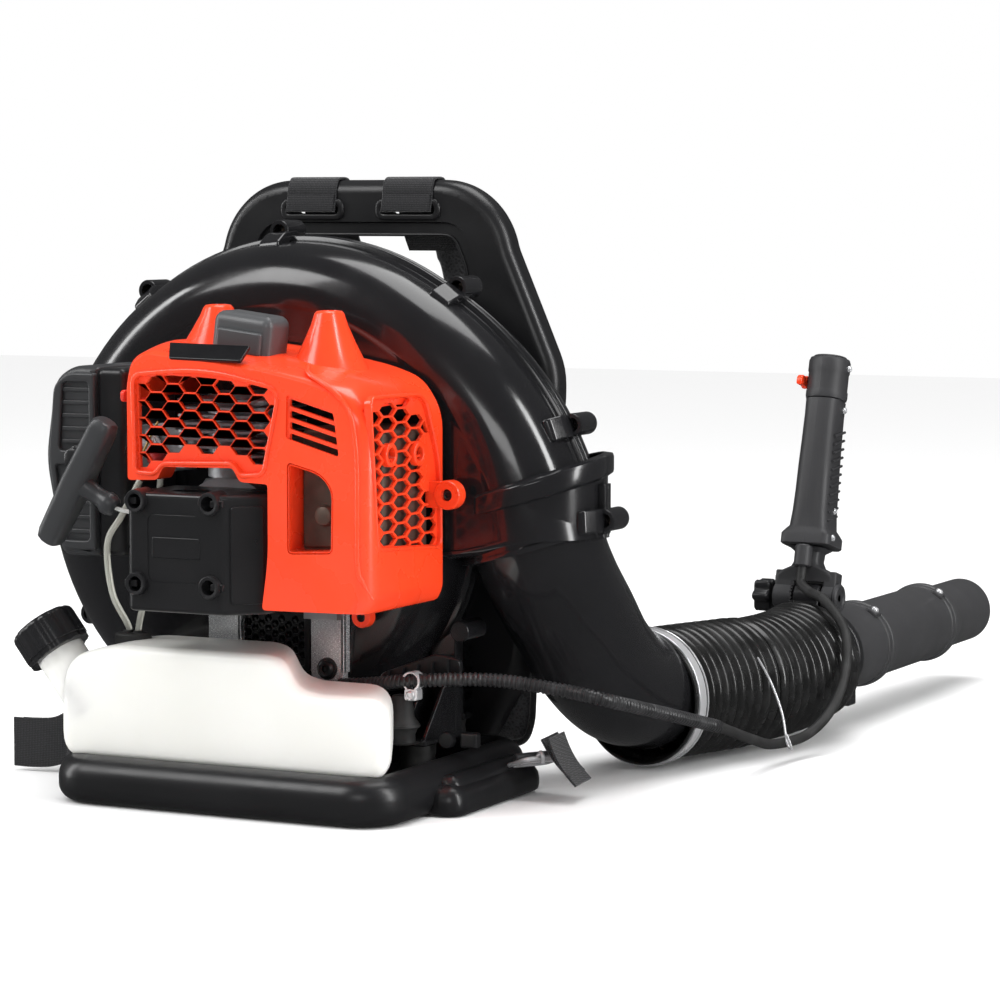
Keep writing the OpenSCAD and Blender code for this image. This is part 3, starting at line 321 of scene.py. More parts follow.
MAT = {
    "frame_plastic": moulded("frame_plastic", (0.010, 0.010, 0.011), 0.33, grain=700, grain_depth=0.12),
    "housing_gloss": moulded("housing_gloss", (0.010, 0.010, 0.011), 0.16, grain=160, grain_depth=0.08,
                             coat=0.25),
    "black_plastic": moulded("black_plastic", (0.010, 0.010, 0.011), 0.3, grain=800, grain_depth=0.1),
    "starter_plastic": moulded("starter_plastic", (0.011, 0.011, 0.012), 0.3, grain=900, grain_depth=0.08),
    "pipe_plastic": moulded("pipe_plastic", (0.040, 0.040, 0.042), 0.36, grain=900, grain_depth=0.08),
    "grip_plastic": moulded("grip_plastic", (0.028, 0.028, 0.030), 0.46, grain=1300, grain_depth=0.14),
    "grey_plastic": moulded("grey_plastic", (0.030, 0.031, 0.033), 0.36, grain=1000, grain_depth=0.1),
    "latch_plastic": moulded("latch_plastic", (0.065, 0.067, 0.070), 0.33, grain=900, grain_depth=0.06),
    "orange_plastic": moulded("orange_plastic", (0.90, 0.055, 0.013), 0.26, grain=140, grain_depth=0.04,
                              wear=1.1, coat=0.25),
    "red_plastic": moulded("red_plastic", (0.75, 0.035, 0.015), 0.3, wear=1.1),
    "fan_plastic": moulded("fan_plastic", (0.05, 0.05, 0.055), 0.4),
    "pulley_plastic": moulded("pulley_plastic", (0.7, 0.69, 0.64), 0.45, wear=1.05),
    "badge": moulded("badge", (0.006, 0.006, 0.007), 0.22, grain=200, grain_depth=0.02),
    # the black plastic painted darker for the insides of parts: painted shade
    "painted_shade_inside": moulded("painted_shade_inside", (0.004, 0.004, 0.004), 0.7),
    "hose_rubber": rubber("hose_rubber", (0.010, 0.010, 0.010), 0.22),
    "rubber": rubber("rubber", (0.014, 0.014, 0.014), 0.6),
    "red_rubber": rubber("red_rubber", (0.35, 0.02, 0.02), 0.4),
    "conduit": rubber("conduit", (0.018, 0.018, 0.019), 0.34),
    "zinc": metal("zinc", (0.82, 0.83, 0.85), 0.24, brush=(1, 1, 8)),
    "bright_wire": metal("bright_wire", (0.85, 0.85, 0.87), 0.14, brush=(1, 1, 4)),
    "steel": metal("steel", (0.5, 0.51, 0.53), 0.3),
    "cast_alloy": metal("cast_alloy", (0.55, 0.56, 0.58), 0.45, grain=350, depth=0.12, dirt=0.6),
    "heat_steel": metal("heat_steel", (0.16, 0.125, 0.10), 0.5, grain=120, depth=0.1, dirt=0.5),
    "brass": metal("brass", (0.66, 0.43, 0.16), 0.3),
    "pad_mesh": spacer_mesh("pad_mesh", (0.022, 0.022, 0.024)),
    "webbing": woven("webbing", (0.016, 0.016, 0.018), 1.6),
    "strap_cloth": woven("strap_cloth", (0.014, 0.014, 0.015), 0.9, sheen=0.4),
    "rope": woven("rope", (0.55, 0.55, 0.52), 0.8),
    "tank_plastic": tank_plastic("tank_plastic"),
    "clear_tube": clear_hose("clear_tube", (0.8, 0.8, 0.72)),
    "filter_foam": spacer_mesh("filter_foam", (0.5, 0.42, 0.25)),
    "ceramic_plug": moulded("ceramic_plug", (0.8, 0.8, 0.78), 0.15, wear=1.0),
    "red_wire": moulded("red_wire", (0.7, 0.03, 0.09), 0.35),
}

# ---------------------------------------------------------------- shapes

PLANES = {
    "xz": lambda u, v, t: (u, t, v),
    "yz": lambda u, v, t: (t, u, v),
    "xy": lambda u, v, t: (u, v, t),
}


def arc(x, z, radius, first, last, steps=8):
    turns = [math.radians(first + (last - first) * k / steps) for k in range(steps + 1)]
    return [(x + radius * math.cos(t), z + radius * math.sin(t)) for t in turns]


def circle(x, z, radius, steps=24):
    return arc(x, z, radius, 0, 360 - 360 / steps, steps - 1)


def area(points):
    return sum(a[0] * b[1] - b[0] * a[1] for a, b in zip(points, points[1:] + points[:1])) / 2


def inset(points, distance):
    """The outline moved inwards by distance; a negative distance makes it larger."""
    turn = 1 if area(points) > 0 else -1
    moved = []
    for before, here, after in zip(points[-1:] + points[:-1], points, points[1:] + points[:1]):
        first = (Vector(here) - Vector(before)).normalized()
        last = (Vector(after) - Vector(here)).normalized()
        normal = Vector((-first.y - last.y, first.x + last.x)) * turn
        share = max(0.3, 1 + first.dot(last))
        moved.append(tuple(Vector(here) + normal * distance / share))
    return moved


def soften(points, radius, steps=5):
    """The outline with each corner rounded; radius is one number or one for each corner."""
    radii = radius if isinstance(radius, (list, tuple)) else [radius] * len(points)
    out = []
    for before, here, after, r in zip(points[-1:] + points[:-1], points, points[1:] + points[:1], radii):
        here = Vector(here)
        to_before, to_after = Vector(before) - here, Vector(after) - here
        reach = min(r, to_before.length * 0.49, to_after.length * 0.49)
        if r == 0:
            out.append(tuple(here))
            continue
        a, b = here + to_before.normalized() * reach, here + to_after.normalized() * reach
        for k in range(steps + 1):
            t = k / steps
            out.append(tuple(a * (1 - t) ** 2 + here * 2 * t * (1 - t) + b * t * t))
    return out


def box_outline(x0, x1, z0, z1, radius=0.0, steps=5):
    corners = [(x0, z0), (x1, z0), (x1, z1), (x0, z1)]
    return soften(corners, radius, steps) if radius else corners


class Shape:
    """Collects the faces of one piece, in millimetres."""

    def __init__(self):
        self.points = []
        self.faces = []

    def add(self, points, faces):
        first = len(self.points)
        self.points += [Vector(p) for p in points]
        self.faces += [[first + i for i in face] for face in faces]
        return self

    def join(self, other, matrix=None):
        return self.add([matrix @ p if matrix else p for p in other.points], other.faces)

    def moved(self, matrix):
        return Shape().join(self, matrix)

    def loft(self, rings, closed=True, caps=(True, True), loop=False):
        """Skin over rings that have the same number of points."""
        n = len(rings[0])
        faces = []
        for i in range(len(rings) if loop else len(rings) - 1):
            a, b = i * n, (i + 1) % len(rings) * n
            for k in range(n if closed else n - 1):
                faces.append([a + k, a + (k + 1) % n, b + (k + 1) % n, b + k])
        if caps[0] and not loop:
            faces.append(list(range(n))[::-1])
        if caps[1] and not loop:
            faces.append([(len(rings) - 1) * n + k for k in range(n)])
        return self.add([p for ring in rings for p in ring], faces)

    def cap(self, plane, t, outline, holes=()):
        """A flat face with holes. Every point of the outlines is used, so it closes the sides it meets."""
        work = bmesh.new()
        for loop in (outline, *holes):
            corners = [work.verts.new((u, v, 0)) for u, v in loop]
            for a, b in zip(corners, corners[1:] + corners[:1]):
                work.edges.new((a, b))
        work.verts.index_update()
        bmesh.ops.triangle_fill(work, use_beauty=True, edges=work.edges[:], normal=(0, 0, 1))
        self.add([PLANES[plane](v.co.x, v.co.y, t) for v in work.verts],
                 [[v.index for v in face.verts] for face in work.faces])
        work.free()
        return self

    def plate(self, plane, outline, t0, t1, holes=(), edge=(0, 0), hole_edge=(0, 0), steps=4):
        """An outline with thickness from t0 to t1. edge rounds its rims there and hole_edge the holes'."""
        for loop, rounds, sign in [(outline, edge, 1)] + [(hole, hole_edge, -1) for hole in holes]:
            rings = []
            for end, way, r in ((t0, 1, rounds[0]), (t1, -1, rounds[1])):
                if r == 0:
                    rings.append([(loop, end)])
                    continue
                quarter = []
                for k in range(steps + 1):
                    a = math.radians(90 * k / steps)
                    quarter.append((inset(loop, sign * r * (1 - math.sin(a))),
                                    end + way * r * (1 - math.cos(a))))
                rings.append(quarter if way > 0 else quarter[::-1])
            levels = rings[0] + rings[1]
            self.loft([[PLANES[plane](*p, t) for p in ring] for ring, t in levels], caps=(False, False))
            if sign > 0:
                first_cap, last_cap = [levels[0][0]], [levels[-1][0]]
            else:
                first_cap.append(levels[0][0])
                last_cap.append(levels[-1][0])
        self.cap(plane, t0, first_cap[0], first_cap[1:])
        self.cap(plane, t1, last_cap[0], last_cap[1:])
        return self

    def pillow(self, low, high, plan, edge, plane="xy", steps=5):
        """A box with rounded plan corners and rounded rims. plane is the one its plan lies in."""
        axes = {"xy": (0, 1, 2), "xz": (0, 2, 1), "yz": (1, 2, 0)}[plane]
        u, v, t = axes
        outline = box_outline(low[u], high[u], low[v], high[v], plan, steps)
        rounds = edge if isinstance(edge, tuple) else (edge, edge)
        return self.plate(plane, outline, low[t], high[t], edge=rounds)

    def lathe(self, profile, origin=(0, 0, 0), axis=(0, 0, 1), steps=64, closed=True):
        """Turns a profile of (radius, distance along the axis) pairs about the axis."""
        spin = Vector(axis).to_track_quat("Z", "Y").to_matrix().to_4x4()
        place = Matrix.Translation(Vector(origin)) @ spin
        rings = []
        for k in range(steps):
            a = 2 * math.pi * k / steps
            rings.append([place @ Vector((r * math.cos(a), r * math.sin(a), h)) for r, h in profile])
        return self.loft(rings, closed=closed, loop=True)

    def rod(self, start, end, radius, edge=0.6, steps=24):
        """A solid cylinder with softened rims."""
        length = (Vector(end) - Vector(start)).length
        profile = [(0.001, 0), (radius - edge, 0), (radius, edge), (radius, length - edge),
                   (radius - edge, length)]
        return self.lathe(profile + [(0.001, length)], start, Vector(end) - Vector(start), steps,
                          closed=False)

    def tube(self, line, radius, steps=16, caps=(True, True), up=(0, 0, 1)):
        """A round tube along a line; radius is a number or a function of the ring's place from 0 to 1."""
        rings = []
        normal = None
        for i, point in enumerate(line):
            way = (Vector(line[min(i + 1, len(line) - 1)]) - Vector(line[max(i - 1, 0)])).normalized()
            if normal is None:
                normal = way.cross(Vector(up))
                normal = normal.normalized() if normal.length > 0.01 else way.orthogonal().normalized()
            normal = (normal - way * normal.dot(way)).normalized()
            other = way.cross(normal)
            r = radius(i / (len(line) - 1)) if callable(radius) else radius
            turns = [2 * math.pi * k / steps for k in range(steps)]
            rings.append([Vector(point) + (normal * math.cos(a) + other * math.sin(a)) * r for a in turns])
        return self.loft(rings, caps=caps)

    def ribbon(self, line, across, width, thick):
        """A flat strap along a line. across is its width's direction, or a function of 0 to 1 along it."""
        rings = []
        for i, point in enumerate(line):
            way = (Vector(line[min(i + 1, len(line) - 1)]) - Vector(line[max(i - 1, 0)])).normalized()
            there = across(i / (len(line) - 1)) if callable(across) else across
            side = Vector(there).normalized() * width / 2
            up = way.cross(side).normalized() * thick / 2
            p = Vector(point)
            rings.append([p - side * 0.97 - up, p - side, p - side * 0.97 + up, p + side * 0.97 + up,
                          p + side, p + side * 0.97 - up])
        return self.loft(rings)

    def make(self, name, material, body="frame", slot=None, bevel=0.0, segments=3, limit=40, sharp=35,
             wall=0.0, replaces=()):
        """Turns the shape into a piece. bevel rounds its edges; wall gives an open skin inward thickness."""
        mesh = bpy.data.meshes.new(name)
        mesh.from_pydata([p * MM for p in self.points], [], self.faces)
        work = bmesh.new()
        work.from_mesh(mesh)
        bmesh.ops.remove_doubles(work, verts=work.verts, dist=0.02 * MM)
        bmesh.ops.recalc_face_normals(work, faces=work.faces)
        if bevel:
            bmesh.ops.dissolve_limit(work, angle_limit=math.radians(0.6), verts=work.verts,
                                     edges=work.edges)
        for face in work.faces:
            face.smooth = True
        work.to_mesh(mesh)
        work.free()
        mesh.set_sharp_from_angle(angle=math.radians(sharp))
        piece = bpy.data.objects.new(name, mesh)
        bpy.context.scene.collection.objects.link(piece)
        mesh.materials.append(MAT[material])
        if wall:
            solid = piece.modifiers.new("wall", "SOLIDIFY")
            solid.thickness = wall * MM
            solid.offset = -1
        if bevel:
            rounding = piece.modifiers.new("rounding", "BEVEL")
            rounding.width = bevel * MM
            rounding.segments = segments
            rounding.limit_method = "ANGLE"
            rounding.angle_limit = math.radians(limit)
        piece.modifiers.new("normals", "WEIGHTED_NORMAL").keep_sharp = True
        if body:
            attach(piece, body)
        if replaces:
            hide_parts(*replaces)
        return piece


def turned(angle, axis, about=(0, 0, 0)):
    """A rotation in degrees about an axis through a point."""
    there = Matrix.Translation(Vector(about))
    return there @ Matrix.Rotation(math.radians(angle), 4, axis) @ there.inverted()


def shifted(x, y, z):
    return Matrix.Translation(Vector((x, y, z)))


def smooth_line(points, steps):
    """A smooth route through chosen points."""
    points = [Vector(p) for p in points]
    out = []
    for i in range(len(points) - 1):
        a, b = points[max(i - 1, 0)], points[i]
        c, d = points[i + 1], points[min(i + 2, len(points) - 1)]
        for k in range(steps):
            t = k / steps
            out.append(0.5 * (2 * b + (c - a) * t + (2 * a - 5 * b + 4 * c - d) * t * t
                              + (3 * b - a - 3 * c + d) * t ** 3))
    return out + [points[-1]]


def dress(node, material, bevel=0.0, segments=2, limit=35):
    """Shows a CAD node as it is, with a finish and softened edges."""
    piece = NODES[node]
    piece.data.materials.clear()
    piece.data.materials.append(MAT[material])
    if bevel:
        weld = piece.modifiers.new("weld", "WELD")
        weld.merge_threshold = 0.01 * MM
        flat = piece.modifiers.new("flat_faces", "DECIMATE")
        flat.decimate_type = "DISSOLVE"
        flat.angle_limit = math.radians(0.8)
        rounding = piece.modifiers.new("rounding", "BEVEL")
        rounding.width = bevel * MM
        rounding.segments = segments
        rounding.limit_method = "ANGLE"
        rounding.angle_limit = math.radians(limit)
        piece.modifiers.new("normals", "WEIGHTED_NORMAL").keep_sharp = True
    return piece

# Slots of the record that the finishes stand for
SLOT_OF = {name: name for name in MAT}
SLOT_OF.update({
    "starter_plastic": "black_plastic", "badge": "black_plastic", "painted_shade_inside": "black_plastic",
    "strap_cloth": "pad_mesh", "brass": "zinc", "red_wire": "red_plastic",
})

# ---------------------------------------------------------------- base, tank and legs

BASE_X, BASE_Y = 13, -66.5
BASE_W, BASE_D, BASE_R = 330, 283, 42
RAIL_W, RAIL_H = 26, 40
FOOT_OUT = 23


def rail_section():
    """Section of the rail: how far in from its outer side, and height. Its outer top edge is the roundest."""
    w, h = RAIL_W, RAIL_H
    points = []
    for x, z, r, first in ((w - 6.5, h - 6.5, 6.5, 0), (19, h - 19, 19, 90), (14, 14, 14, 180),
                           (w - 7, 7, 7, 270)):
        points += arc(x, z, r, first, first + 90, 6)
    return points


def base_frame():
    shape = Shape()
    rings = []
    for cx, cy, first in ((1, 1, 0), (-1, 1, 90), (-1, -1, 180), (1, -1, 270)):
        for k in range(11):
            a = math.radians(first + 9 * k)
            middle_x = BASE_X + cx * (BASE_W / 2 - BASE_R)
            middle_y = BASE_Y + cy * (BASE_D / 2 - BASE_R)
            rings.append([(middle_x + (BASE_R - d) * math.cos(a), middle_y + (BASE_R - d) * math.sin(a), z)
                          for d, z in rail_section()])
    shape.loft(rings, loop=True)
    inner = box_outline(BASE_X - BASE_W / 2 + 20, BASE_X + BASE_W / 2 - 20, BASE_Y - BASE_D / 2 + 20,
                        BASE_Y + BASE_D / 2 - 20, 20)
    shape.plate("xy", inner, 2, 10)
    for x in range(-110, 140, 40):
        shape.pillow((x - 2, BASE_Y - 118, 9), (x + 2, BASE_Y + 100, 15), 1, 1)
    for side in (-1, 1):
        edge = BASE_X + side * BASE_W / 2
        low, high = sorted((edge - side * 14, edge + side * FOOT_OUT))
        shape.pillow((low, -125, 0), (high, 38, 25), 26, (6, 14))
        shape.pillow((low + 5, -112, 12), (high - 7, 24, 32), 18, (4, 13))
    # raised seats of the two front mounts and the pocket for the backrest foot
    for x, y in ((128, -58), (-108, -58)):
        shape.lathe([(0.001, 8), (24, 8), (23, 12), (18, 14), (0.001, 14)], (x, y, 0), closed=False,
                    steps=40)
    shape.pillow((-128, 62, 6), (128, 76, 30), 4, 3)
    shape.make("base_frame_looks", "frame_plastic", bevel=0.8, replaces=["base_frame"])


TANK_Y0, TANK_Y1 = -186, -98
TANK_LOW = 35
NECK = Vector((-146, -164, 104))
NECK_WAY = Vector((math.sin(math.radians(-38)), 0, math.cos(math.radians(-38))))
GROMMET = (-106, -132)


def tank_place(x, y):
    """How far right a point of the tank lies: towards the housing its right half slopes back to the left."""
    share = max(0.0, min(1.0, (x + 70) / 80))
    return x - 0.52 * max(0.0, y + 174) * share


def fuel_tank():
    outline = soften([(-146, TANK_LOW), (166, TANK_LOW), (166, 103), (98, 103.5), (82, 108), (70, 129),
                      (56, 133), (-98, 133), (-133, 122), (-146, 104)],
                     [22, 24, 22, 26, 10, 12, 14, 26, 18, 16], 6)
    rim = 9
    levels = [(rim * (1 - math.sin(math.radians(a))), TANK_Y0 + rim * (1 - math.cos(math.radians(a))))
              for a in range(0, 91, 15)]
    levels += [(0, y) for y in (-166, -150, -134, -118)]
    levels += [(rim * (1 - math.cos(math.radians(a))), TANK_Y1 - rim * (1 - math.sin(math.radians(a))))
               for a in range(0, 91, 15)]
    rings = []
    for rounding, y in levels:
        rings.append([(tank_place(x, y), y, z) for x, z in inset(outline, rounding)])
    shape = Shape()
    shape.loft(rings, caps=(False, False))
    for ring in (rings[0], rings[-1]):
        shape.cap("xz", ring[0][1], [(x, z) for x, _, z in ring])
    shape.lathe([(0.001, -38), (21, -38), (21, 34), (18, 34), (18, 20), (0.001, 20)], NECK, NECK_WAY,
                closed=False)
    shape.make("fuel_tank_looks", "tank_plastic", sharp=50, replaces=["fuel_tank"])


def tank_cap():
    shape = Shape()
    spin = NECK_WAY.to_track_quat("Z", "Y").to_matrix().to_4x4()
    place = Matrix.Translation(NECK + NECK_WAY * 20.2) @ spin
    rings = []
    facets, per = 12, 8
    for h, grow in ((0, -1.2), (0.8, 0), (5, 0), (5.6, 1), (27, 1), (29.5, 0.2), (31.2, -1.6), (31.8, -4)):
        ring = []
        for k in range(facets * per):
            a = 2 * math.pi * k / (facets * per)
            dent = 1.5 * (0.5 + 0.5 * math.cos(a * facets)) ** 4 if grow > -3 else 0
            r = 28 + grow - dent
            ring.append(place @ Vector((r * math.cos(a), r * math.sin(a), h)))
        rings.append(ring)
    shape.loft(rings, caps=(True, False))
    inner = [[place @ Vector((r * math.cos(2 * math.pi * k / 96), r * math.sin(2 * math.pi * k / 96), h))
              for k in range(96)] for r, h in ((24, 31.8), (22.5, 30.9), (9, 30.9), (8, 30.2))]
    shape.loft(rings[-1:] + inner, caps=(False, True))
    shape.make("tank_cap_looks", "black_plastic", body="cap", sharp=45, replaces=["tank_cap"])


def fuel_lines():
    grommet = Shape()
    oval = [(GROMMET[0] + 17 * math.cos(math.radians(t)), GROMMET[1] + 12 * math.sin(math.radians(t)))
            for t in range(0, 360, 12)]
    grommet.plate("xy", oval, 128, 137, edge=(0, 2.5))
    for dx in (-5, 5):
        grommet.lathe([(0.001, 136), (4.6, 136), (4.2, 139), (0.001, 139)],
                      (GROMMET[0] + dx, GROMMET[1], 0), closed=False)
    grommet.make("tank_grommet", "rubber")
    lines = Shape()
    for route in ([(-110, -132, 120), (-110, -132, 140), (-115, -150, 172), (-113, -160, 215),
                   (-98, -160, 240), (-88, -148, 268)],
                  [(-101, -132, 120), (-101, -132, 140), (-92, -134, 172), (-84, -132, 210),
                   (-80, -128, 270)]):
        lines.tube(smooth_line(route, 8), 2.8, steps=14)
    lines.make("fuel_lines_looks", "clear_tube", replaces=["fuel_lines"])


LEG_Y, LEG_TOP, LEG_W = -72, 159, 32
LEGS = ((33, 98, -62), (-68, 10, -56))


def mount_legs():
    for index, (x, low, foot) in enumerate(LEGS):
        shape = Shape()
        face = soften([(x, low), (x + LEG_W, low), (x + LEG_W, LEG_TOP), (x, LEG_TOP)], [7, 7, 2, 2], 4)
        shape.plate("xz", face, LEG_Y, LEG_Y + 4, edge=(0.8, 0.8), steps=2)
        shape.pillow((x + LEG_W - 3.5, LEG_Y, low + 7), (x + LEG_W, LEG_Y + 11, LEG_TOP), 1, 0.6)
        shape.pillow((x + 1, LEG_Y + 0.5, low), (x + LEG_W - 1, foot, low + (10 if index == 0 else 4)), 2,
                     0.6)
        shape.make(f"mount_leg_{index}", "zinc", sharp=40, replaces=["mount_legs"] if index == 0 else ())
    screw = Shape()
    screw.lathe([(0.001, -2.2), (2.6, -2.2), (3, -5), (5.6, -5.6), (7.2, -3.6), (7.2, -1.2), (9.4, -1),
                 (9.6, 0), (0.001, 0)], (49, LEG_Y, 108), (0, 1, 0), closed=False, steps=40)
    screw.make("leg_screw", "black_plastic")


def vibration_mounts():
    shape = Shape()
    for x, y in ((128, -58), (-108, -58)):
        profile = [(0.001, 10), (17, 10), (17.5, 13), (15.5, 17), (17, 22), (15.5, 27), (16.5, 32),
                   (14.5, 37), (15.5, 41), (15.5, 47.5), (0.001, 47.5)]
        shape.lathe(profile, (x, y, 0), closed=False, steps=40)
    for x, y in ((100, 63), (-100, 63)):
        shape.lathe([(0.001, 39), (10.5, 39), (9.5, 45), (10.5, 51), (0.001, 51.5)], (x, y, 0),
                    closed=False)
    shape.make("vibration_mounts_looks", "rubber", sharp=50, replaces=["vibration_mounts"])


# ---------------------------------------------------------------- backrest and harness

BACK_TOP = 521
BACK_Y, BACK_T = 78, 25
PAD_Y = BACK_Y + BACK_T
SLOT_Z, SLOT_W = 495, 52
SLOT_X = (-49, 47)


def both_sides(half):
    return half + [(-x, z) for x, z in reversed(half)]


BACK_EDGE = both_sides([(-113, 18.5), (-124, 30), (-158, 90), (-175, 250), (-191, 325), (-191, 358),
                        (-172, 402)]
                       + arc(-75, BACK_TOP - 72, 72, 170, 90, 10))
HAND_HOLE = [(-78, 392), (78, 392), (104, 410), (106, 440), (92, 474), (-92, 474), (-106, 440), (-104, 410)]


def backrest_frame():
    shape = Shape()
    hand = soften(HAND_HOLE, 12, 5)
    slots = [box_outline(x - SLOT_W / 2, x + SLOT_W / 2, SLOT_Z - 3.5, SLOT_Z + 3.5, 2.5,
                         3) for x in SLOT_X]
    windows = [box_outline(s * 75 - 35, s * 75 + 35, 65, 125, 8, 4) for s in (-1, 1)]
    outline = [(x, z) for x, z in soften(BACK_EDGE, 14, 4)]
    shape.plate("xz", outline, BACK_Y, PAD_Y, edge=(12, 5), steps=6)
    piece = shape.make("backrest_frame_looks", "frame_plastic", sharp=60, replaces=["backrest_frame"])
    cutters = [Shape().plate("xz", loop, BACK_Y - 20, PAD_Y + 20) for loop in [hand, *slots, *windows]]
    # shallow bevelled recess round the hand opening
    ring = inset(hand, -9)
    recess = Shape().loft([[(x, BACK_Y - 5, z) for x, z in inset(ring, -3)],
                           [(x, BACK_Y + 3.5, z) for x, z in ring]])
    cut(piece, recess, *cutters)
    trim = Shape()
    trim.plate("xz", inset(hand, -0.5), BACK_Y + 2, BACK_Y + 9, holes=[inset(hand, 2.5)], edge=(1.5, 0),
               hole_edge=(1.5, 0), steps=3)
    for loop in slots:
        trim.plate("xz", inset(loop, -6), BACK_Y - 2.4, BACK_Y + 3, holes=[loop], edge=(2, 0),
                   hole_edge=(2, 0), steps=4)
    # long ridge down each wing
    for s in (-1, 1):
        ridge = soften([(s * 150, 385), (s * 166, 370), (s * 171, 330), (s * 164, 250), (s * 156, 250),
                        (s * 162, 330), (s * 156, 364), (s * 146, 378)], 4, 3)
        trim.plate("xz", ridge, BACK_Y - 3.5, BACK_Y + 3, edge=(3, 0), steps=4)
    trim.make("backrest_trim", "frame_plastic", sharp=60)


def face_outwards(mesh, merge):
    """Joins the points that lie within merge millimetres and turns every face outwards."""
    work = bmesh.new()
    work.from_mesh(mesh)
    bmesh.ops.remove_doubles(work, verts=work.verts, dist=merge * MM)
    bmesh.ops.recalc_face_normals(work, faces=work.faces)
    if work.calc_volume(signed=True) < 0:
        bmesh.ops.reverse_faces(work, faces=work.faces)
    work.to_mesh(mesh)
    work.free()


def baked(piece):
    """Applies a piece's modifiers."""
    bpy.context.view_layer.update()
    evaluated = piece.evaluated_get(bpy.context.evaluated_depsgraph_get())
    result = bpy.data.meshes.new_from_object(evaluated)
    piece.modifiers.clear()
    piece.data = result
    return result


def cut(piece, *cutters, crossing=False):
    """Cuts shapes out of a piece in turn; it keeps only weighted normals. crossing allows walls that meet."""
    for modifier in [m for m in piece.modifiers if m.type == "WEIGHTED_NORMAL"]:
        piece.modifiers.remove(modifier)
    face_outwards(baked(piece), 0.001)
    for cutter in cutters:
        mesh = bpy.data.meshes.new("cutter")
        mesh.from_pydata([p * MM for p in cutter.points], [], cutter.faces)
        face_outwards(mesh, 0.01)
        tool = bpy.data.objects.new("cutter", mesh)
        bpy.context.scene.collection.objects.link(tool)
        boolean = piece.modifiers.new("cut", "BOOLEAN")
        boolean.operation = "DIFFERENCE"
        boolean.solver = "EXACT"
        boolean.use_self = crossing
        boolean.object = tool
        baked(piece)
        bpy.data.objects.remove(tool)
    for face in piece.data.polygons:
        face.use_smooth = True
    piece.data.set_sharp_from_angle(angle=math.radians(38))
    piece.modifiers.new("normals", "WEIGHTED_NORMAL").keep_sharp = True
    return piece


def inflate(piece, pressure, shrink=-0.01):
    """Fills a closed soft piece with a short cloth simulation, held near its rest shape."""
    remesh = piece.modifiers.new("remesh", "REMESH")
    remesh.mode = "VOXEL"
    remesh.voxel_size = 6 * MM
    bpy.context.view_layer.update()
    evaluated = piece.evaluated_get(bpy.context.evaluated_depsgraph_get())
    piece.data = bpy.data.meshes.new_from_object(evaluated)
    piece.modifiers.clear()
    rest = [v.co.copy() for v in piece.data.vertices]
    cloth = piece.modifiers.new("cloth", "CLOTH")
    settings = cloth.settings
    settings.quality = 5
    settings.mass = 0.4
    settings.tension_stiffness = 25
    settings.bending_stiffness = 4
    settings.use_pressure = True
    settings.uniform_pressure_force = pressure
    settings.shrink_min = shrink
    settings.effector_weights.gravity = 0
    cloth.point_cache.frame_start, cloth.point_cache.frame_end = 1, 20
    scene = bpy.context.scene
    for number in range(1, 21):
        scene.frame_set(number)
    evaluated = piece.evaluated_get(bpy.context.evaluated_depsgraph_get())
    piece.data = bpy.data.meshes.new_from_object(evaluated)
    piece.modifiers.clear()
    scene.frame_set(1)
    most = 5 * MM
    for vertex, start in zip(piece.data.vertices, rest):
        move = vertex.co - start
        if move.length > most:
            vertex.co = start + move.normalized() * most
    for face in piece.data.polygons:
        face.use_smooth = True
    smooth = piece.modifiers.new("smooth", "SUBSURF")
    smooth.levels = smooth.render_levels = 1
    return piece


PAD_EDGE = both_sides([(-100, 16), (-150, 24), (-158, 44), (-161, 120), (-168, 250), (-168, 330),
                       (-158, 362), (-128, 386)])
STRAP_EDGE = [(-34, 482), (-86, 482), (-110, 440), (-122, 380), (-126, 300), (-116, 215), (-96, 160),
              (-62, 160), (-68, 220), (-76, 300), (-70, 370), (-52, 430)]


def back_pad():
    shape = Shape()
    outline = soften(PAD_EDGE, 18, 5)
    shape.plate("xz", inset(outline, 3), PAD_Y + 1, PAD_Y + 23, edge=(4, 10), steps=4)
    pad = shape.make("back_pad_looks", "pad_mesh", replaces=["back_pad"])
    inflate(pad, 3)
    piping = Shape()
    edge = inset(outline, 3.5)
    ring = [(x, PAD_Y + 4, z) for x, z in edge]
    piping.tube(ring + ring[:2], 3.0, steps=10, caps=(False, False), up=(0, 1, 0))
    piping.make("back_pad_piping", "strap_cloth", sharp=60)


def shoulder_straps():
    for side, s in (("left", 1), ("right", -1)):
        outline = [(s * x, z) for x, z in soften(STRAP_EDGE, 14, 4)]
        shape = Shape()
        shape.plate("xz", inset(outline, 2), PAD_Y + 26, PAD_Y + 37, edge=(4, 4), steps=3)
        strap = shape.make(f"shoulder_strap_{side}", "pad_mesh",
                           replaces=["shoulder_straps"] if side == "left" else ())
        inflate(strap, 2)


WEB_W = 50


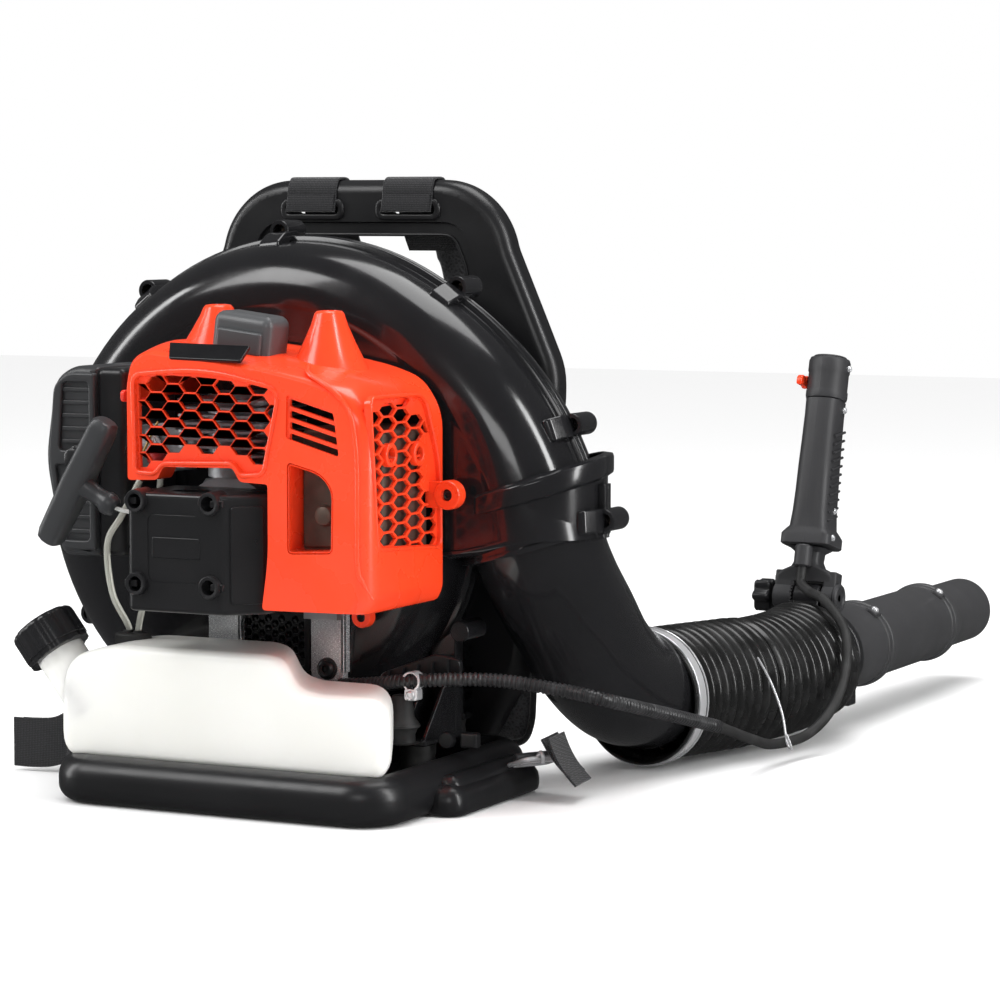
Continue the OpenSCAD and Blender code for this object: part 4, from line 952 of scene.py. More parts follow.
def strap_webbing():
    shape = Shape()
    for x in SLOT_X:
        line = [(x, BACK_Y - 4.5, SLOT_Z - 2), (x, BACK_Y - 3.2, SLOT_Z + 4), (x, BACK_Y - 1.4, 505),
                (x, BACK_Y - 0.4, 513), (x, BACK_Y + 2.5, 519.5), (x, BACK_Y + 7, 522.4),
                (x, PAD_Y - 6, 522.4), (x, PAD_Y - 0.5, 519.6), (x, PAD_Y + 1.6, 514),
                (x, PAD_Y + 2.4, 500), (x, PAD_Y + 12, 476), (x, PAD_Y + 23.5, 459)]
        shape.ribbon(smooth_line(line, 5), (1, 0, 0), WEB_W, 2.0)
        fold = [(x, BACK_Y - 5.4, SLOT_Z - 1), (x, BACK_Y - 4.6, 501), (x, BACK_Y - 3.0, 508)]
        shape.ribbon(smooth_line(fold, 4), (1, 0, 0), WEB_W - 3, 1.6)
    for s in (-1, 1):
        line = [(s * 79, 131, 159), (s * 79, 135, 120), (s * 79, 135, 60), (s * 79, 133, 31)]
        shape.ribbon(smooth_line(line, 5), (1, 0, 0), 30, 2.0)
    shape.make("strap_webbing_looks", "webbing", sharp=50, replaces=["strap_webbing"])
    tail = Shape()
    tail.join(webbing_tail(46, 44, 8), shifted(243, -3, 35) @ turned(8, "Z") @ turned(58, "Y"))
    tail.join(webbing_tail(40, 44, 5), shifted(237, -3, 38) @ turned(8, "Z") @ turned(52, "Y"))
    for lift, reach in ((0, -266), (3.4, -258)):
        line = [(-180, -74, 43 + lift), (-192, -74, 41 + lift), (-206, -75, 34 + lift),
                (-226, -77 + lift, 27), (-246, -78 + lift, 25), (reach, -79 + lift, 25)]
        tail.ribbon(smooth_line(line, 5), standing, 44, 1.9)
    tail.make("webbing_tails", "webbing", sharp=50)


def standing(t):
    """Width's direction of the left strap end: flat at the buckle, standing on edge at its end."""
    turn = math.radians(90 * min(1, t * 1.9))
    return (0, math.cos(turn), math.sin(turn))


def webbing_tail(length, width, sag):
    """A short free end of webbing, slightly curved."""
    shape = Shape()
    line = [(length * (k / 8 - 0.5), 0, -sag * math.sin(math.pi * k / 8) * 0.4) for k in range(9)]
    shape.ribbon(line, (0, 1, 0), width, 1.9)
    return shape


def strap_buckles():
    shape = Shape()
    for place, length in ((shifted(212, -3, 31) @ turned(-32, "Z") @ turned(-18, "Y"), 38),
                          (shifted(-168, -74, 43) @ turned(0, "Z"), 26)):
        shape.join(wire_buckle(length, 44), place)
    shape.make("strap_buckles_looks", "bright_wire", sharp=60, replaces=["strap_buckles"])
    roller = Shape()
    place = shifted(208, -1, 29.5) @ turned(-32, "Z")
    roller.join(Shape().rod((-2, -17, 4), (-2, 17, 4), 4.2, 1), place)
    roller.make("buckle_roller", "grey_plastic")


def wire_buckle(length, width):
    """A bent-wire link with a cross bar and a hook."""
    shape = Shape()
    loop = [(x, y, 0) for x, y in box_outline(-length / 2 + 2, length / 2 - 2, -width / 2 + 2,
                                              width / 2 - 2, 7, 6)]
    shape.tube(loop + loop[:2], 2.1, steps=12, caps=(False, False))
    shape.tube([(0, -width / 2 + 3, 0), (0, width / 2 - 3, 0)], 2.0, steps=12)
    hook = [(length / 2 - 4, -8, 1), (length / 2 + 3, -8, 4), (length / 2 + 6, -8, 0),
            (length / 2 + 4, -8, -5)]
    shape.tube(smooth_line(hook, 5), 1.9, steps=10)
    hook = [(x, -y, z) for x, y, z in hook]
    shape.tube(smooth_line(hook, 5), 1.9, steps=10)
    return shape

# ---------------------------------------------------------------- fan housing

CRANK_X, CRANK_Z = -10, 223
HALF_T = 62
SCROLL_R, THROAT = 244, 36
CUT_R, CUT_A = 160, 330
DUCT_X, DUCT_Z0, DUCT_R = 209.5, 190, 57
ELBOW_HEAD = math.radians(7)
HOSE_DIR = Vector((math.sin(ELBOW_HEAD), math.cos(ELBOW_HEAD), 0))
CLIP_ANGLES = (3, 20, 54, 95, 128, 202, 245, 292)


def scroll(angle):
    """Radius of the housing at an angle from +X towards +Z about the crankshaft."""
    u = (CUT_A - angle + 720) % 360
    if u < 150:
        return CUT_R + (SCROLL_R - CUT_R) * (u / 150) ** 1.3
    if u < 270:
        return SCROLL_R
    if u <= 330:
        return SCROLL_R + THROAT * ((u - 270) / 60) ** 1.5
    if u < 338:
        return SCROLL_R + THROAT - (SCROLL_R + THROAT - CUT_R) * (u - 330) / 8
    return CUT_R


def polar(angle, radius, y):
    a = math.radians(angle)
    return (CRANK_X + radius * math.cos(a), y, CRANK_Z + radius * math.sin(a))


def half_section(radius, inner):
    """Outer skin of one half at one angle: (radius, depth behind the flat face)."""
    corner = 45 + max(0, radius - SCROLL_R) * 0.3
    points = [(inner, 4), (inner + 4, 2), (inner + 8, 2), (radius - corner - 12, 2),
              (radius - corner - 8, 1), (radius - corner - 5, 0)]
    for k in range(1, 13):
        a = math.radians(7.5 * k)
        points.append((radius - corner + corner * math.sin(a), corner - corner * math.cos(a)))
    rim = HALF_T - 6.2
    points += [(radius, rim - 3), (radius + 1, rim - 0.8), (radius + 4.6, rim), (radius + 5.8, rim + 0.9),
               (radius + 6, rim + 2.2), (radius + 5.6, rim + 3.6), (radius + 4.4, rim + 4.4),
               (radius + 4.2, rim + 5), (radius + 4.2, HALF_T - 0.05), (radius - 1, HALF_T - 0.05)]
    return points


def housing_half(inner, side):
    """side is -1 for the front half and 1 for the rear one."""
    angles = [3 * k for k in range(107)] + [330, 338, 345, 350, 352, 353.5, 355, 357, 358.5]
    shape = Shape()
    rings = [[polar(a, r, side * (HALF_T - depth)) for r,
              depth in half_section(scroll(a), inner)] for a in angles]
    shape.loft(rings, closed=False, loop=True)
    return shape


COLLAR_TILT, COLLAR_WAY = 0.29, Vector((0.93, 0.37, 0))
COLLAR = [(56.8, 216), (61, 214.5), (62, 215.5), (62, 219), (60.8, 220), (61, 255), (65.5, 257), (66, 259),
          (66, 270), (65, 273), (58, 276)]


def half_turn(radius, z, side, steps=32):
    """Half a circle round the outlet, on one side of the seam, higher on the tube's side."""
    ring = []
    for k in range(steps + 1):
        a = math.pi * k / steps
        out = Vector((radius * math.cos(a), side * radius * math.sin(a), 0))
        ring.append((DUCT_X + out.x, out.y, z + COLLAR_TILT * out.dot(COLLAR_WAY)))
    return ring


def volute_halves():
    for name, side, inner in (("front", -1, 62), ("rear", 1, 78)):
        shape = housing_half(inner, side)
        # outlet: a collar with a raised band, both slanted
        shape.loft([half_turn(r, z, side) for r, z in COLLAR], closed=False, caps=(False, False))
        # flange of the outlet along the seam
        edge = DUCT_X + DUCT_R
        low, high = sorted((side * 6.2, side * 0.05))
        shape.pillow((edge + 3, low, 226), (edge + 10.5, high, 268), 2,
                     (1.6, 0.3) if side > 0 else (0.3, 1.6))
        shape.make(f"volute_{name}_looks", "housing_gloss", sharp=50, wall=2.4, replaces=[f"volute_{name}"])
    legs = Shape()
    # right leg hangs from the seam, with two ribs; the left one from the flat face
    legs.plate("xz", soften([(116, 48), (140, 48), (140, 142), (116, 124)], 4, 3), -12, -0.4,
               edge=(1.5, 0.3))
    legs.pillow((114, -72, 47.6), (142, -0.4, 53), 3, 1)
    for x in (118, 138):
        legs.plate("yz", soften([(-68, 52), (-3, 52), (-3, 116), (-12, 116)], 3, 3), x - 1.5, x + 1.5,
                   edge=(0.5, 0.5))
    legs.pillow((-118, -66, 47.6), (-98, -61, 124), 2, 1)
    legs.pillow((-122, -72, 47.6), (-94, -60, 53), 3, 1)
    for x, top in ((100, 190), (-100, 126)):
        legs.pillow((x - 9, 61, 52), (x + 9, 66, top), 2, 1)
        legs.pillow((x - 14, 54, 51.6), (x + 14, 72, 57), 3, 1)
    # boss tube above the lower clip, seen between the cover and the base
    legs.rod((158, -40, 142), (158, -6, 142), 9, 1)
    legs.make("volute_legs", "housing_gloss", sharp=45)
    clips()


def clips():
    """Screwed straps that hold the two halves together round the rim."""
    one = Shape()
    # in local axes: X along the rim, Y as in the model, Z outwards
    one.plate("yz", soften([(-31, -5), (-30, 1), (-15, 9.5), (7, 11), (9, 2), (-8, 2), (-11, -5)],
                           [2, 4, 5, 4, 1, 2, 2], 4), -10, 10, edge=(2, 2), steps=3)
    one.lathe([(6, -10), (9, -10), (9.6, -9), (9.6, 20), (8.4, 22), (0.001, 22), (0.001, 3), (6, 3),
               (6, -10)],
              (0, 0, 10.5), (0, 1, 0), steps=36, closed=False)
    shape, screws = Shape(), Shape()
    for angle in CLIP_ANGLES:
        place = Matrix.Translation(Vector(polar(angle, scroll(angle), 0))) @ Matrix.Rotation(
            math.radians(90 - angle), 4, "Y")
        shape.join(one, place)
        screws.join(pan_screw(4.4), place @ shifted(0, 2.5, 10.5) @ turned(90, "X"))
    shape.make("volute_clips", "housing_gloss", sharp=45)
    screws.make("volute_screws_looks", "heat_steel", sharp=35, replaces=["volute_screws"])


def pan_screw(radius):
    """A domed screw head with a round socket, head up along Z, its seat at the origin."""
    head = [(0.001, 0.9), (radius * 0.42, 0.9), (radius * 0.48, 2.1), (radius * 0.7, 2.5),
            (radius * 0.92, 1.7), (radius, 0.6), (radius, 0), (0.001, 0)]
    return Shape().lathe(head, closed=False, steps=24)


def screens():
    shape = Shape()
    holes = []
    for i in range(-5, 6):
        for j in range(-2, 3):
            x, z = -12 + 6.6 * i, 130 + 8.6 * j + (4.3 if i % 2 else 0)
            if abs(z - 130) < 18:
                holes.append([(x + 3.7 * math.cos(math.radians(t)), z + 3.7 * math.sin(math.radians(t)))
                              for t in range(0, 360, 60)])
    shape.plate("xz", box_outline(-49, 25, 107, 153, 3), -66, -63.2, holes=holes, edge=(0.6, 0))
    shape.plate("xz", box_outline(-53, 29, 103, 157, 5), -67.5, -63,
                holes=[box_outline(-48, 24, 108, 152, 3)], edge=(1.2, 0), hole_edge=(0.8, 0))
    shape.make("cooling_screen_looks", "black_plastic", sharp=40, replaces=["cooling_screen"])
    dress("intake_screen", "black_plastic", 0.5)
    dress("impeller", "fan_plastic", 0.6)
    dress("fan_nut", "zinc", 0.5)


# ---------------------------------------------------------------- elbow, hose and tubes

ELBOW_R, ELBOW_TAIL = 126, 58
ELBOW_Z = DUCT_Z0 - ELBOW_R
HOSE_A = Vector((DUCT_X, 0, ELBOW_Z)) + HOSE_DIR * (ELBOW_R + ELBOW_TAIL)
PIPE_X, PIPE_Z, PIPE_R = 286, 71, 40
HOSE_C = Vector((PIPE_X, 426, PIPE_Z))
HOSE_BEND = (HOSE_A, HOSE_A + HOSE_DIR * 85, HOSE_C - Vector((0, 85, 13)), HOSE_C)
HOSE_STEPS, HOSE_CUFF = 40, 4


# the elbow's centre line: how far it has gone along the hose's direction, and its height
ELBOW_ROUTE = [(0, 248), (3, 225), (13, 202), (34, 174), (62, 144), (93, 110), (134, 82), (184, 68)]


def elbow():
    line = smooth_line([Vector((DUCT_X, 0, z)) + HOSE_DIR * s for s, z in ELBOW_ROUTE], 8)
    shape = Shape()
    shape.tube(line, lambda t: DUCT_R - 0.3 - 4 * t, steps=96, caps=(False, False), up=HOSE_DIR)
    shape.make("elbow_looks", "housing_gloss", sharp=60, wall=2.7, replaces=["elbow"])
    band = Shape()
    start = HOSE_A - HOSE_DIR * 13
    band.lathe([(DUCT_R + 3.2, 0), (DUCT_R + 4.6, 0), (DUCT_R + 5, 0.6), (DUCT_R + 5, 10.4),
                (DUCT_R + 4.6, 11), (DUCT_R + 3.2, 11)], start, HOSE_DIR, steps=96)
    housing = Matrix.Translation(start) @ HOSE_DIR.to_track_quat("Z", "Y").to_matrix().to_4x4()
    screw = Shape()
    screw.pillow((DUCT_R + 4.5, -9, 0), (DUCT_R + 13, 9, 11), 2, 1)
    screw.rod((DUCT_R + 9, -15, 5.5), (DUCT_R + 9, 12, 5.5), 3.6, 0.8)
    band.join(screw, housing @ turned(40, "Z"))
    band.make("elbow_clamp_looks", "bright_wire", sharp=40, replaces=["elbow_clamp"])


def bezier(t):
    a, b, c, d = HOSE_BEND
    return a * (1 - t) ** 3 + b * 3 * (1 - t) ** 2 * t + c * 3 * (1 - t) * t * t + d * t ** 3


def hose_part(first, last, radius, rib, ribs, plain_start=0.0, plain_end=0.0):
    """Bellows between two places on the centre line, counted in steps from the elbow's end."""
    def place(s):
        return HOSE_A + HOSE_DIR * 4 * s if s < 0 else bezier(s / HOSE_STEPS)

    rings_per_rib = 8
    count = ribs * rings_per_rib
    line, radii = [], []
    for i in range(count + 1):
        t = i / count
        line.append(place(first + (last - first) * t))
        wave = 0.5 - 0.5 * math.cos(2 * math.pi * i / rings_per_rib)
        wave = wave ** 0.55
        plain = t < plain_start or t > 1 - plain_end
        radii.append(radius if plain else radius - rib * (1 - wave))
    shape = Shape()
    shape.tube(line, lambda t: radii[round(t * count)], steps=72, caps=(False, False), up=(0, 0, 1))
    return shape


def hose():
    mid = HOSE_STEPS / 2
    rear = hose_part(-HOSE_CUFF, mid, DUCT_R + 3, 4.6, 12, plain_start=0.17)
    piece = rear.make("hose_rear_looks", "hose_rubber", body=None, sharp=80, wall=2.2,
                      replaces=["hose_rear"])
    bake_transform(piece)
    front = hose_part(mid + 2, HOSE_STEPS - 1, DUCT_R + 1, 4.6, 10, plain_end=0.06)
    piece = front.make("hose_front_looks", "hose_rubber", body=None, sharp=80, wall=2.2,
                       replaces=["hose_front"])
    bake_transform(piece)
    ring = hose_part(mid, mid + 2, DUCT_R + 2.4, 3, 1)
    ring.make("hose_mid_ring_looks", "hose_rubber", body="hose_ring", sharp=80, wall=2.4,
              replaces=["hose_mid_ring"])
    # spring wire wound in the rear cuff
    wires = Shape()
    turns = []
    across = HOSE_DIR.cross(Vector((0, 0, 1))).normalized()
    for k in range(61):
        a = 2 * math.pi * k / 60
        turns.append(HOSE_A + HOSE_DIR * 1.5 + (across * math.cos(a) + Vector((0, 0,
                1)) * math.sin(a)) * (DUCT_R + 4.2))
    wires.tube(turns, 0.9, steps=8, caps=(False, False))
    wires.make("hose_wire", "bright_wire")


def pipes():
    cuff = Shape()
    cuff.lathe([(PIPE_R + 0.2, 0), (DUCT_R - 8, 0), (DUCT_R - 6.2, 1.5), (DUCT_R - 6, 4), (DUCT_R - 6, 15),
                (DUCT_R - 8, 18), (PIPE_R + 0.2, 18)], (PIPE_X, 412, PIPE_Z), (0, 1, 0), steps=96)
    cuff.make("hose_end_cuff", "hose_rubber", body="tube", sharp=40, replaces=["hose_end_clamp"])
    for name, start, end, r in (("swivel_pipe", 408, 560, PIPE_R),
                                ("middle_pipe", 530, 752, PIPE_R - 2.25)):
        profile = [(r - 2.2, start), (r - 0.6, start), (r, start + 0.6), (r, end - 15), (r + 1.2, end - 14),
                   (r + 1.2, end - 7), (r + 2.2, end - 6), (r + 2.6, end - 4.5), (r + 2.6, end - 1),
                   (r + 1.6, end), (r - 2.2, end)]
        shape = Shape().lathe(profile, (PIPE_X, 0, PIPE_Z), (0, 1, 0), steps=96)
        shape.make(f"{name}_looks", "pipe_plastic", body="tube", sharp=40, replaces=[name])
    nozzle = Shape()
    r = PIPE_R - 4.5
    nozzle.lathe([(r - 2.2, 722), (r, 722), (r, 760), (r - 0.6, 765), (33.3, 781), (33, 784), (33, 874.6),
                  (32.2, 876), (31, 876), (30.8, 874), (30.8, 784), (r - 2.2, 760)], (PIPE_X, 0, PIPE_Z),
                 (0, 1, 0), steps=96)
    nozzle.make("nozzle_pipe_looks", "pipe_plastic", body="nozzle", sharp=40, replaces=["nozzle_pipe"])
    bolts, lugs = Shape(), Shape()
    for y, r in ((546, PIPE_R), (738, PIPE_R - 2.2)):
        for angle in (35, 215):
            place = shifted(PIPE_X, y, PIPE_Z) @ turned(angle, "Y") @ shifted(0, 0, r)
            lugs.join(Shape().pillow((-6, -8, -1), (6, 8, 3.4), 3, (0.2, 1.4)), place)
            bolts.join(pan_screw(4.0), place @ shifted(0, 0, 3.2))
    lugs.make("pipe_lugs", "pipe_plastic", body="tube", sharp=40)
    bolts.make("pipe_joint_bolts_looks", "bright_wire", body="tube", replaces=["pipe_joint_bolts"])


# ---------------------------------------------------------------- control handle

PIVOT = Vector((278, 446, 128))
LEAN = 15


def on_grip():
    """The handle's own axes: origin on its pivot, z up the grip."""
    return Matrix.Translation(PIVOT) @ Matrix.Rotation(math.radians(-LEAN), 4, "X")


def grip_ring(w, d, r, z, y=0.0):
    return [(x, yy + y, z) for x, yy in box_outline(-w / 2, w / 2, -d / 2, d / 2, min(r, w / 2.05,
                                                                                      d / 2.05), 6)]


def handle_bracket():
    ring = Shape()
    ring.lathe([(PIPE_R + 0.2, 0), (PIPE_R + 3.5, 0), (PIPE_R + 5, 1.5), (PIPE_R + 5, 10), (PIPE_R + 4, 11),
                (PIPE_R + 4, 23), (PIPE_R + 5, 24), (PIPE_R + 5, 32.5), (PIPE_R + 3.5, 34),
                (PIPE_R + 0.2, 34)],
               (PIPE_X, PIVOT.y - 16, PIPE_Z), (0, 1, 0), steps=72)
    ring.plate("yz", soften([(PIVOT.y - 15, PIPE_Z + PIPE_R + 2), (PIVOT.y + 17, PIPE_Z + PIPE_R + 2),
                             (PIVOT.y + 12, PIVOT.z + 2), (PIVOT.y - 12, PIVOT.z + 2)], 4, 4),
               PIVOT.x - 9, PIVOT.x + 17, edge=(2, 2))
    ring.rod((PIVOT.x - 9, PIVOT.y, PIVOT.z), (PIVOT.x + 17, PIVOT.y, PIVOT.z), 13, 1.4, 40)
    # a clamp ear under the ring
    ring.pillow((PIPE_X + 30, PIVOT.y - 9, PIPE_Z - 44), (PIPE_X + 40, PIVOT.y + 11, PIPE_Z - 28), 3, 1.5)
    ring.make("handle_bracket_looks", "black_plastic", body="tube", sharp=40, replaces=["handle_bracket"])


def bracket_knob():
    shape = Shape()
    rings = []
    x0 = PIVOT.x - 50
    for x, grow in ((0, -4), (0.8, -1.6), (2.6, 0), (14, 0), (15.8, -1.4), (17, -4)):
        ring = []
        for k in range(72):
            a = 2 * math.pi * k / 72
            r = 14.5 + 2.2 * math.cos(6 * a) + grow
            ring.append((x0 + x, PIVOT.y + r * math.cos(a), PIVOT.z + r * math.sin(a)))
        rings.append(ring)
    shape.loft(rings)
    shape.rod((x0 + 16, PIVOT.y, PIVOT.z), (PIVOT.x + 34, PIVOT.y, PIVOT.z), 4)
    shape.lathe([(0.001, -1.2), (6, -1.2), (7.4, -0.2), (7.4, 1), (0.001, 1)], (x0, PIVOT.y, PIVOT.z),
                (1, 0, 0), closed=False, steps=32)
    shape.make("bracket_knob_looks", "black_plastic", body="knob", sharp=50, replaces=["bracket_knob"])


def handle():
    place = on_grip()
    pivot = Shape()
    for low, high in ((-30, -10.5), (18.5, 32)):
        pivot.rod((low, 0, 0), (high, 0, 0), 13, 1.5, 48)
        pivot.pillow((low, -9, 2), (high, 9, 24), 3, 1.5)
    # teeth where the left cheek meets the barrel
    for k in range(24):
        pivot.join(Shape().pillow((-12, -0.8, 9.5), (-9.6, 0.8, 13.6), 0.3, 0.3), turned(15 * k, "X"))
    pivot.lathe([(0.001, 0), (9, 0), (10.5, 1.4), (12.4, 1.6), (13.6, 0.2), (13.6, -2.2), (0.001, -2.2)],
                (34, 0, 0), (1, 0, 0), closed=False, steps=48)
    rings = [grip_ring(62, 18, 6, 14), grip_ring(62, 19, 6, 18), grip_ring(54, 21, 8, 23),
             grip_ring(32, 23, 9, 28), grip_ring(26, 23, 9, 34), grip_ring(27, 24, 9, 42),
             grip_ring(36, 33, 9, 46)]
    pivot.loft(rings)
    pivot.rod((0, -17, 26), (0, -17, 47), 8.6, 1.4)
    pivot.moved(place).make("handle_fork", "grip_plastic", body="handle", sharp=35)

    for name, side in (("left", -1), ("right", 1)):
        shape = Shape()
        levels = [(46, 40, 6, 47.5, 0), (50, 44, 8, 49, 0), (50, 44, 8, 58, 0), (47, 41, 9, 61, 0),
                  (40, 41, 13, 66, 1), (37.5, 43, 15, 80, 1), (36.5, 43, 16, 100, 1),
                  (35.5, 42, 16, 125, 0), (34.5, 41, 16, 150, 0), (34, 40, 16, 175, 0),
                  (34.5, 40, 16, 190, 0)]
        rings = [clip_ring(grip_ring(w, d, r, z, y), side) for w, d, r, z, y in levels]
        shape.loft(rings)
        # band and round head with a shallow cap
        head = [(17.5, 190), (19.5, 191.5), (20, 194), (20, 199), (19.3, 200), (19.3, 217), (20, 218),
                (20, 228), (18.8, 231), (15, 232)]
        shape.loft([clip_ring([(r * math.cos(2 * math.pi * k / 48), r * math.sin(2 * math.pi * k / 48), z)
                               for k in range(48)], side) for r, z in head])
        shape.moved(place).make(f"grip_{name}_looks", "grip_plastic", body="handle", sharp=38,
                                replaces=[f"grip_{name}"])
    details = Shape()
    # diagonal ribs on the right side and the trigger's guard at the front
    for k in range(11):
        z = 72 + 8.2 * k
        rib = [(18.3 - 0.25 * k * 0.2, y, z + (y + 12) * 0.35) for y in (-12, -4, 4, 12)]
        details.tube(rib, 1.3, steps=10)
    details.lathe([(0.001, 0.4), (12, 0.4), (13, 1.2), (15.6, 1.2), (16.4, 0), (0.001, 0)], (0, 0, 232),
                  closed=False, steps=48)
    guard = [(0, 20, 104), (0, 27, 108), (0, 27.5, 120), (0, 24, 124)]
    details.tube(smooth_line(guard, 6), 3.4, steps=12)
    details.moved(place).make("grip_details", "grip_plastic", body="handle", sharp=50)
    screws = Shape()
    for y, z in ((-10, 56), (4, 84), (4, 182), (0, 222)):
        screws.join(pan_screw(3.2), shifted(17.6 + (2.2 if z > 200 else 6.4 if z < 60 else 0), y,
                                            z) @ turned(90, "Y"))
    screws.moved(place).make("grip_screws", "zinc", body="handle")

    trigger = Shape()
    outline = soften([(6, 114), (16, 113), (22, 120), (35, 172), (31, 181), (25, 181), (19, 172), (6, 121)],
                     [2, 3, 6, 5, 4, 3, 6, 2], 5)
    trigger.plate("yz", outline, -4.8, 4.8, edge=(2.4, 2.4), steps=4)
    trigger.moved(place).make("throttle_trigger_looks", "black_plastic", body="trigger", sharp=40,
                              replaces=["throttle_trigger"])
    lever = Shape()
    lever.rod((-26, 0, 208), (-20.2, 0, 208), 6.2, 0.8)
    lever.plate("yz", soften([(-17, 203), (-2, 203.5), (2, 212), (-13, 213), (-17, 210)], 2.5, 4), -26,
                -20.4, edge=(1.2, 1.2))
    lever.moved(place).make("thumb_lever_looks", "orange_plastic", body="lever", sharp=40,
                            replaces=["thumb_lever"])


def clip_ring(ring, side):
    """Keeps one side of a ring, from the seam at x = 0; the other side lies flat on the seam."""
    return [(max(x, 0.05) if side > 0 else min(x, -0.05), y, z) for x, y, z in ring]

# ---------------------------------------------------------------- engine cover

COVER_X1 = 158
COVER_Y0 = -197
COVER_Z1 = 388


def cover_top(x):
    """Height of the cover's top, which falls to the right."""
    return COVER_Z1 - (x + 47) * 0.12


COVER_EDGE = [(152, 171), (158, 182), (158, 330), (140, 356), (112, 366), (60, 376), (6, 383), (-52, 388),
              (-66, 380), (-71, 362), (-71, 273), (-40, 274), (-34, 285), (32, 286), (39, 275), (65, 274),
              (65, 213), (59, 170)]
COVER_ROUND = [5, 10, 26, 12, 30, 30, 30, 12, 12, 14, 3, 3, 3, 3, 3, 3, 14, 4]
COVER_STATIONS = (-197, -196.7, -195.8, -194.2, -192, -189, -185.5, -181, -175, -168, -160, -150, -135,
                  -110, -74, -70)


def cover_ring(y):
    """Outline of the cover at one depth: its right side rounds in and its top slopes down to the front."""
    side = max(0.0, (-182 - y) / 15)
    right_in = 14 * (1 - math.sqrt(max(0.0, 1 - side ** 2)))
    top_drop = 9 * max(0.0, (-150 - y) / 47) ** 1.5 + 2 * max(0.0, (-193 - y) / 4) ** 2
    left_in = 3 * max(0.0, (-192 - y) / 5) ** 2
    corners = []
    for x, z in COVER_EDGE:
        share = max(0.0, min(1.0, (x - 90) / 50))
        lift = max(0.0, min(1.0, (z - 320) / 40))
        low = 1.5 * side if z < 172 else 0
        corners.append((x - right_in * share + (left_in if x < -60 else 0), z - top_drop * lift + low))
    return [(x, y, z) for x, z in soften(corners, COVER_ROUND, 5)]


def hexagon(x, z, wide, high):
    """A six-sided opening with points to the left and right."""
    return [(x + wide, z), (x + wide / 2, z + high), (x - wide / 2, z + high), (x - wide, z),
            (x - wide / 2, z - high), (x + wide / 2, z - high)]


def inside(outline, x, z):
    """Whether a point lies in an outline."""
    hit = False
    for (ax, az), (bx, bz) in zip(outline, outline[1:] + outline[:1]):
        if (az > z) != (bz > z) and x < (bx - ax) * (z - az) / (bz - az) + ax:
            hit = not hit
    return hit


def clipped(loop, outline):
    """The part of a loop that lies inside an outline without hollows."""
    turn = 1 if area(outline) > 0 else -1
    for (ax, az), (bx, bz) in zip(outline, outline[1:] + outline[:1]):
        depth = [turn * ((bx - ax) * (z - az) - (bz - az) * (x - ax)) for x, z in loop]
        kept = []
        for k, (x, z) in enumerate(loop):
            (nx, nz), here, there = loop[(k + 1) % len(loop)], depth[k], depth[(k + 1) % len(loop)]
            if here >= 0:
                kept.append((x, z))
            if here * there < 0:
                share = here / (here - there)
                kept.append((x + (nx - x) * share, z + (nz - z) * share))
        loop = kept
        if not loop:
            break
    return [p for p, q in zip(loop, loop[1:] + loop[:1]) if math.dist(p, q) > 1.2]


def hex_holes(outline, limit, pitch, size, margin, shift):
    """Staggered columns of hexagons inside an outline, trimmed by limit, the outline without hollows."""
    border, edge = inset(outline, margin - 0.2), inset(limit, margin)
    xs, zs = [p[0] for p in outline], [p[1] for p in outline]
    holes = []
    for i in range(-1, int((max(xs) - min(xs)) / pitch[0]) + 2):
        for j in range(-1, int((max(zs) - min(zs)) / pitch[1]) + 2):
            x = min(xs) + shift[0] + pitch[0] * i
            z = min(zs) + shift[1] + pitch[1] * (j + (i % 2) / 2)
            hole = clipped(hexagon(x, z, *size), edge)
            if len(hole) > 2 and abs(area(hole)) > 24 and all(inside(border, *p) for p in hole):
                holes.append(hole)
    return holes


FRONT_GRILLE = soften([(-60, 281), (-43, 280), (-35, 289), (32, 291), (40, 281), (60, 283), (75, 350),
                       (6, 365), (-62, 359)], [4, 4, 5, 5, 4, 5, 12, 60, 8], 5)
FRONT_LIMIT = [(-59.6, 282.4), (59.2, 284.2), (73.4, 350), (40, 356.8), (-28, 361), (-61, 358.4)]
MUFFLER_WINDOW = soften([(83, 218), (125, 220), (126, 272), (114, 285), (83, 293)], [5, 5, 10, 8, 5], 4)
SLOT_PANEL = soften([(82, 312), (131, 298), (126, 334), (83, 347)], [3, 3, 4, 3], 3)
SIDE_LIMIT = [(-191.7, 344.9), (-101.3, 343.8), (-74.4, 286.9), (-72.6, 217.2), (-180.3, 224.4)]
SIDE_GRILLE = soften(SIDE_LIMIT, [8, 14, 20, 8, 8], 4)


def engine_cover():
    shape = Shape()
    rings = [cover_ring(y) for y in COVER_STATIONS]
    shape.loft(rings, caps=(False, False))
    shape.cap("xz", COVER_Y0, [(x, z) for x, _, z in rings[0]], [FRONT_GRILLE, MUFFLER_WINDOW, SLOT_PANEL])
    piece = shape.make("engine_cover_shell", "orange_plastic", sharp=70, wall=3, replaces=["engine_cover"])
    # the side window, and the step below the grille, which is open behind the front lip
    cut(piece, Shape().plate("yz", SIDE_GRILLE, COVER_X1 - 9, COVER_X1 + 12),
        Shape().pillow((-90, COVER_Y0 + 22, 262), (61, -40, 292), 1, 0.1),
        Shape().pillow((40, COVER_Y0 + 22, 160), (72, -40, 288), 1, 0.1),
        Shape().pillow((-90, COVER_Y0 + 22, 260), (-66, -40, 340), 1, 0.1), crossing=True)
    rims = piece.modifiers.new("rims", "BEVEL")
    rims.width, rims.segments, rims.limit_method = 1.1 * MM, 3, "ANGLE"
    rims.angle_limit = math.radians(60)
    piece.modifiers.move(1, 0)
    front_grille()
    side_grille()
    cover_top_parts()


